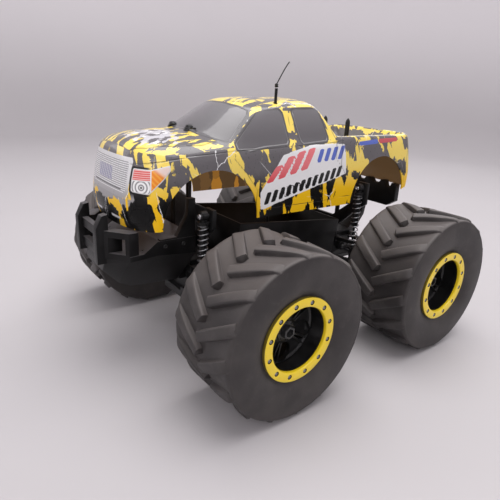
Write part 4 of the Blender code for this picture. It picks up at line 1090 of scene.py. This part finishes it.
def shell_paint():
    paint = Paint("shell_yellow", coat_roughness=0.05)
    x, y, z = paint.place()
    point = paint.vector(x, y, z)
    across, along, on_top = [paint.value(name) for name in ("across", "along", "on_top")]
    ragged = paint.noise(point, 0.22, 4, 0.65) * 5 - 2.5
    width = on_top * -3 + 13
    lean = across + along * 0.22 + ragged * 0.8
    coarse = paint.cells(paint.vector(lean / width, (along + ragged * 2) / 34, 0.0))
    fine = paint.cells(paint.vector((lean + 31) / (width * 0.42), (along - ragged * 2) / 17, 0.0))
    splinter = (coarse * 0.58 + fine * 0.42 - 0.5) * 11
    edge = paint.value("tone") + splinter + ragged * 0.35
    is_yellow = edge.ramp(-0.22, 0.22)

    # The yellow pales towards the top: painted sheen from the light above.
    high = z.ramp(176, 214)
    yellow = paint.mix((0.98, 0.585, 0.012), (0.99, 0.75, 0.14), high)
    dark = paint.mix((0.006, 0.006, 0.006), (0.125, 0.117, 0.125), (z + splinter * 1.2).ramp(186, 212))
    colour = paint.mix(dark, yellow, is_yellow)

    web_point = paint.vector((across + ragged) / 46, (along + across * 0.5) / 60, 0.0)
    web = paint.cells(web_point, "DISTANCE_TO_EDGE")
    web_on = paint.noise(point, 0.018, 1).ramp(0.52, 0.58)
    colour = paint.mix(colour, (0.85, 0.85, 0.86), (web * 50).ramp(0.5, 0.2) * web_on)
    speckle = paint.cells(paint.vector((lean - 7) / 3.4, (along + 5) / 6.0, 0.0))
    splash = (paint.value("splash") + splinter * 0.8).ramp(0.5, 1.5)
    colour = paint.mix(colour, (0.66, 0.65, 0.69), splash * speckle.ramp(0.42, 0.45) * 0.9)
    colour = paint.mix(colour, (0.92, 0.92, 0.93), splash * speckle.ramp(0.86, 0.88))

    surround = paint.value("surround")
    frame_white = paint.mix((0.42, 0.41, 0.42), (0.80, 0.80, 0.81), z.ramp(188, 206))
    below = (surround + 9 + splinter * 0.7).ramp(0, 2) * z.ramp(194, 188) * z.ramp(176, 179)
    colour = paint.mix(colour, (0.36, 0.35, 0.36), below * is_yellow.calc("SUBTRACT", 1.0).size())
    colour = paint.mix(colour, frame_white, surround.ramp(-0.2, 0.3))
    grille = paint.value("grille")
    slats = z.wave(1.9)
    posts = x.wave(3.2) * 0.5
    mesh_tone = paint.mix((0.36, 0.36, 0.38), (0.86, 0.86, 0.87), (slats + posts * 0.35).ramp(-0.5, 0.3))
    colour = paint.mix(colour, mesh_tone, grille.ramp(-0.1, 0.3))
    line = (z - 194.6).size().ramp(0.7, 0.3) * x.size().ramp(33, 31) * surround.ramp(0, 1)
    colour = paint.mix(colour, (0.06, 0.06, 0.065), line)
    plate = (x + 4.5).size().ramp(16.5, 16) * (z - 206).size().ramp(6.6, 6.2) * grille.ramp(0, 1)
    plate_tone = paint.mix((0.50, 0.50, 0.60), (0.30, 0.30, 0.46), (x + z).wave(7.0).ramp(0.2, 0.5))
    colour = paint.mix(colour, plate_tone, plate)

    lamp = paint.value("lamp")
    u = paint.value("lamp_u")
    colour = paint.mix(colour, (0.010, 0.010, 0.010), (lamp + 2.6).ramp(0, 0.4) * u.ramp(-119, -123))
    colour = paint.mix(colour, (0.80, 0.80, 0.80), lamp.ramp(-0.7, -0.4))
    du, dz = u + 128.4, z - 199.6
    from_bulb = (du * du + dz * dz).calc("POWER", 0.5)
    chrome = paint.mix((0.30, 0.30, 0.31), (0.95, 0.95, 0.95), from_bulb.wave(3.1).ramp(-0.7, 0.1))
    chrome = paint.mix(chrome, (0.12, 0.12, 0.125), from_bulb.ramp(1.3, 0.9))
    rose = paint.mix((0.80, 0.13, 0.12), (0.94, 0.60, 0.58), (z * 1.6).wave(2.9).ramp(0.0, 0.9))
    amber = paint.mix((0.93, 0.27, 0.012), (0.98, 0.42, 0.05), (z + u).wave(5.0).ramp(-0.4, 0.8))
    amber = paint.mix(amber, (0.92, 0.74, 0.68), (z + u * 0.7).ramp(131, 137))
    lens = paint.mix(chrome, rose, z.ramp(205.3, 205.8))
    lens = paint.mix(lens, (0.86, 0.86, 0.86), (z - 205.5).size().ramp(0.6, 0.3))
    lens = paint.mix(lens, amber, u.ramp(-119.6, -119.2))
    lens = paint.mix(lens, (0.86, 0.86, 0.86), (u + 119.8).size().ramp(0.7, 0.4))
    colour = paint.mix(colour, lens, lamp.ramp(0.1, 0.5))

    pocket = paint.value("fog_pocket")
    colour = paint.mix(colour, (0.004, 0.004, 0.004), (pocket + 3.6).ramp(0, 0.4))
    small = (z - 166.6).size().ramp(1.4, 1.1) * (x.size() - 21.5).size().ramp(9, 8.6) * y.ramp(-206, -208)
    colour = paint.mix(colour, (0.78, 0.78, 0.80), small)

    panel = (paint.value("panel") + splinter * 0.16).ramp(-0.2, 0.3)
    colour = paint.mix(colour, (0.88, 0.88, 0.89), panel)
    black_bar = paint.value("black_bar").ramp(-0.1, 0.3)
    colour = paint.mix(colour, (0.008, 0.008, 0.008), black_bar)
    red_tone = paint.mix((0.72, 0.045, 0.06), (0.86, 0.20, 0.22), z.ramp(190, 216))
    colour = paint.mix(colour, red_tone, paint.value("red_slant").ramp(-0.1, 0.3))
    colour = paint.mix(colour, (0.60, 0.08, 0.10), (paint.value("red_bar") + splinter * 0.12).ramp(-0.1, 0.3))
    colour = paint.mix(colour, (0.10, 0.16, 0.58), (paint.value("blue_bar")).ramp(-0.1, 0.3))

    glass = paint.value("glass")
    # The window paint lightens towards the top: a painted reflection of the light above.
    pane = paint.mix((0.105, 0.099, 0.106), (0.165, 0.157, 0.166), z.ramp(236, 268))
    outline = glass.ramp(-1.1, -0.8) * glass.ramp(-0.2, -0.4)
    colour = paint.mix(colour, (0.090, 0.085, 0.090), glass.ramp(-3.4, -3.0))
    colour = paint.mix(colour, pane, glass.ramp(-0.5, -0.1))
    colour = paint.mix(colour, (0.20, 0.195, 0.20), outline)

    seam = paint.value("seam")
    groove = seam.ramp(0.9, 0.2)
    colour = paint.mix(colour, (0.02, 0.018, 0.018), groove * 0.45)
    paint.set("Base Color", colour)
    shine = z.ramp(178, 214)
    paint.set("Specular", shine * 0.3 + 0.12)
    paint.set("Coat Weight", shine * 0.45 + 0.12)
    peel = paint.noise(point, 0.35, 2)
    paint.set("Roughness", peel * 0.1 + glass.ramp(-1, 0) * 0.06 + 0.24)
    height = glass.ramp(-1.6, -0.2) * -0.9 - groove * 0.8
    height = height + lamp.ramp(-1.4, 0.4) * 0.5 - pocket.ramp(-1, 0.5) * 1.4
    height = height + grille.ramp(0, 0.6) * slats * 0.35 + peel * 0.05 + outline * 0.25
    bump = paint.bump(height, 0.9, 0.9)
    paint.tree.links.new(bump.outputs["Normal"], paint.shader.inputs["Coat Normal"])
    return paint.material


def shell_lining():
    """The bare inside of the printed film: brown and orange bands showing through, made to glow as painted light.
    """
    paint = Paint("shell_lining", specular=0.4, roughness=0.24, emission_strength=0.55)
    x, y, z = paint.place()
    ragged = paint.noise(paint.vector(x, y, z), 0.15, 4) * 7
    band = paint.cells(paint.vector((y + ragged) / 11, (z + ragged * 2) / 44, 0.0))
    colour = paint.mix((0.115, 0.068, 0.032), (0.52, 0.235, 0.035), band.ramp(0.58, 0.62))
    colour = paint.mix(colour, (0.19, 0.105, 0.040), band.ramp(0.82, 0.86))
    trim = z.ramp(159.4, 158.8)
    colour = paint.mix(colour, (0.62, 0.60, 0.58), trim)
    paint.set("Base Color", colour)
    # The glow is painted light, standing in for light that comes through the thin film.
    paint.set("Emission Color", colour)
    paint.bump(ragged, 0.05)
    return paint.material


SHELL_FINISHES = [shell_paint(), shell_lining()]


def body_shell():
    mesh = shell_mesh()
    shell_paint_values(mesh)
    obj = placed("printed_body_shell", mesh, BODY_OF["body_shell"], SHELL_FINISHES, sharp=40)
    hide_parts("body_shell")


# ---- small parts --------------------------------------------------------------------------
def post_caps():
    """Knobs and spring clips over the bonnet; bullet_tops() makes the bullet tops over the bed."""
    for side, label in ((1, "left"), (-1, "right")):
        x, y = side * FRONT_POST[0], FRONT_POST[1]
        z = 244.2
        knob = [
            (z, 3.1), (z, 5.6), (z + 0.8, 5.9), (z + 1.6, 5.4), (z + 2.2, 4.2), (z + 4.6, 4.0),
            (z + 5.4, 3.4), (z + 5.8, 2.2), (z + 5.8, 0.2),
        ]
        loop = []
        for k in range(25):
            turn = 2 * math.pi * k / 24
            loop_x = x + side * 3 + 4.6 * math.cos(turn) + 4.5
            loop.append((loop_x, y - 1 + 3.4 * math.sin(turn), z + 3.0 + 0.9 * math.cos(turn)))
        legs = [
            (x - 6.5, y - 1.8, z + 2.4), (x - 2, y - 3.4, z + 2.6), (x + 2.4, y - 3.5, z + 2.8),
            (x + side * 3 + 4, y - 3, z + 3.0),
        ]
        parts = [turned(knob, "z", (x, y, 0), 28, caps=False), tube(loop, 0.55, 8), tube(legs, 0.55, 8)]
        obj = placed("post_cap_" + label, joined(parts), "chassis", [FINISH["dark"]])


def antenna():
    x, y = ANTENNA
    _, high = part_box("antenna_whip")
    whip = []
    for k in range(13):
        t = k / 12
        whip.append((x, y + 0.4 + 15 * t, high.z / MM - 0.6 - (22 * (1 - t) ** 1.15)))
    knot = []
    for k in range(40):
        turn = 2 * math.pi * k / 13
        knot_z = 290.4 + k * 0.065 + 0.5 * math.sin(turn * 1.5)
        knot.append((x + 1.35 * math.cos(turn), y + 1.35 * math.sin(turn), knot_z))
    parts = [tube(whip, 0.62, 8), tube(knot, 0.66, 8)]
    obj = placed("antenna_wire_knotted", joined(parts), "chassis", [FINISH["dark"]])
    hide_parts("antenna_whip")


def bumper():
    details = []
    for side in (-1, 1):
        for z in (131, 138, 145, 152):
            rib = block((side * 25.2 - 3.2, -235.9, z - 1.0), (side * 25.2 + 3.2, -235.2, z + 1.4))
            details.append((rib, 0))
        for y, z in ((-176, 138.5), (-156, 138.5)):
            details.append((cap_screw((side * 50.2, y, z), "x", side, 2.0, 1.2), 2))
    return softened("front_bumper", FINISH["bumper"], 0.9, 3, details)


def chassis_details():
    """Screw heads with washers on the shock towers, and the shocks' own collars."""
    finishes = [FINISH["nylon"], FINISH["screw"], FINISH["dark"]]
    for corner, side, _ in CORNERS:
        low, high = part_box(corner + "_shock_body")
        x = side * (abs((low.x + high.x) / 2) / MM)
        y = ((low.y + high.y) / 2 - MID_Y) / MM
        top = high.z / MM - 5
        face = low.y / MM - MID_Y / MM
        parts = [(cap_screw((x, face + 2.4, top), "y", -1, 2.75, 2.3), 1)]
        parts.append((turned(((face + 2.0, 4.6), (face + 3.0, 4.6)), "y", (x, 0, top), 24), 0))
        for step in range(3):
            z = top - 8 - step * 1.6
            parts.append((turned(((z, 5.1), (z + 0.5, 5.6), (z + 1.0, 5.1)), "z", (x, y, 0), 24), 2))
        obj = placed(corner + "_shock_fittings", joined(parts), "chassis", finishes)


for corner, side, end in CORNERS:
    tyre(corner, side, end)
    rim(corner, side, end)
    beadlock(corner, side, end)
    spring(corner, side)
body_shell()
post_caps()
antenna()
bumper()
chassis_details()

BY_SLOT = {
    "black_nylon": "nylon",
    "shaft_steel": "shaft",
    "motor_can": "motor",
    "battery_wrap": "battery",
    "switch_red": "switch",
    "spring_steel": "spring",
    "tyre_rubber": "tyre",
    "rim_black": "rim",
    "ring_yellow": "ring",
    "shell_yellow": "nylon",
}
SOFT_EDGES = {
    "front_bulkhead": 0.5, "rear_bulkhead": 0.5, "chassis_tub": 0.6, "steering_servo": 0.5,
    "receiver_box": 0.5, "battery_pack": 1.2, "drive_motor": 0.5,
}
for name, obj in frame["nodes"].items():
    if obj.hide_render:
        continue
    kind = obj.data.materials[0].name.split(".")[0] if obj.data.materials else "black_nylon"
    finish = FINISH["tub"] if name == "chassis_tub" else FINISH[BY_SLOT.get(kind, "nylon")]
    if name in SOFT_EDGES or name.endswith(("_arm", "_upright", "_hub_carrier", "_knuckle")):
        softened(name, finish, SOFT_EDGES.get(name, 0.4))
    else:
        for slot in obj.material_slots:
            slot.material = finish


# ---- room, lights, camera -----------------------------------------------------------------
def backdrop():
    """A pale floor that curves up into the wall all round, open above."""
    paint = Paint("studio_sweep", specular=0.2)
    x, y, z = paint.place()
    cloud = paint.noise(paint.vector(x, y, z), 0.004, 3)
    wall = z.ramp(5, 900)
    floor = paint.mix((0.50, 0.478, 0.492), (0.53, 0.507, 0.522), cloud)
    paint.set("Base Color", paint.mix(floor, (0.92, 0.89, 0.91), wall))
    paint.set("Roughness", cloud * 0.1 + 0.62)
    profile = [(0.0, 0.02), (0.0, 1.9)]
    for k in range(1, 25):
        turn = math.pi / 2 * k / 24
        profile.append((0.9 - 0.9 * math.cos(turn), 1.9 + 0.9 * math.sin(turn)))
    profile.append((2.6, 2.8))
    bm = turned(profile, "z", (0, 0, 0), 96, caps=False)
    middle = bm.faces.new([vert for vert in bm.verts if vert.co.z < 1e-6 and vert.co.xy.length < 0.03])
    middle.normal_update()
    for face in bm.faces:
        inwards = face.calc_center_median() * Vector((-1, -1, 0)) + Vector((0, 0, 1))
        if face.normal.dot(inwards) < 0:
            face.normal_flip()
    mesh = mesh_of(bm, "studio_sweep")
    mesh.materials.append(paint.material)
    mesh.shade_smooth()
    obj = linked(mesh, "studio_sweep")


def light(name, spot, aim, size, power, colour=(1, 1, 1)):
    data = bpy.data.lights.new(name, "AREA")
    data.shape = "RECTANGLE"
    data.size, data.size_y = size
    data.energy = power
    data.color = colour
    obj = bpy.data.objects.new(name, data)
    bpy.context.scene.collection.objects.link(obj)
    obj.location = spot
    obj.rotation_euler = (Vector(aim) - Vector(spot)).to_track_quat("-Z", "Y").to_euler()


def lights():
    world = bpy.data.worlds.new("studio")
    world.use_nodes = True
    sky = world.node_tree.nodes["Background"]
    sky.inputs["Color"].default_value = (0.95, 0.93, 0.96, 1)
    sky.inputs["Strength"].default_value = 0.59
    bpy.context.scene.world = world
    bpy.context.scene.view_settings.view_transform = "Standard"
    light("overhead", (0.1, 0.1, 1.7), (0, 0, 0.1), (1.5, 1.5), 26, (1.0, 0.985, 0.98))
    light("front_left_key", (1.5, -1.3, 1.3), (0, 0, 0.15), (1.2, 1.0), 8)
    light("right_fill", (-1.5, -1.2, 1.0), (0, 0, 0.15), (1.1, 1.0), 4)
    light("back_rim", (-0.6, 1.7, 1.2), (0, 0, 0.2), (1.4, 0.8), 7)


def camera():
    """The photograph's view: ahead and to the left of the truck, a little above it, slightly rolled."""
    azimuth, elevation, roll = [math.radians(value) for value in (51.975, 19.914, 3.3)]
    flat = math.cos(elevation)
    back = Vector((math.sin(azimuth) * flat, -math.cos(azimuth) * flat, math.sin(elevation)))
    level = Vector((math.cos(azimuth), math.sin(azimuth), 0))
    up = back.cross(level)
    right = level * math.cos(roll) + up * math.sin(roll)
    rolled_up = up * math.cos(roll) - level * math.sin(roll)
    data = bpy.data.cameras.new("camera")
    data.lens = 33.11
    data.sensor_width = 36
    data.clip_start = 0.02
    obj = bpy.data.objects.new("camera", data)
    bpy.context.scene.collection.objects.link(obj)
    turn = Matrix((right, rolled_up, back)).transposed().to_4x4()
    obj.matrix_world = Matrix.Translation((0.43376, -0.37074 + MID_Y, 0.29255)) @ turn
    bpy.context.scene.camera = obj


backdrop()
lights()
camera()
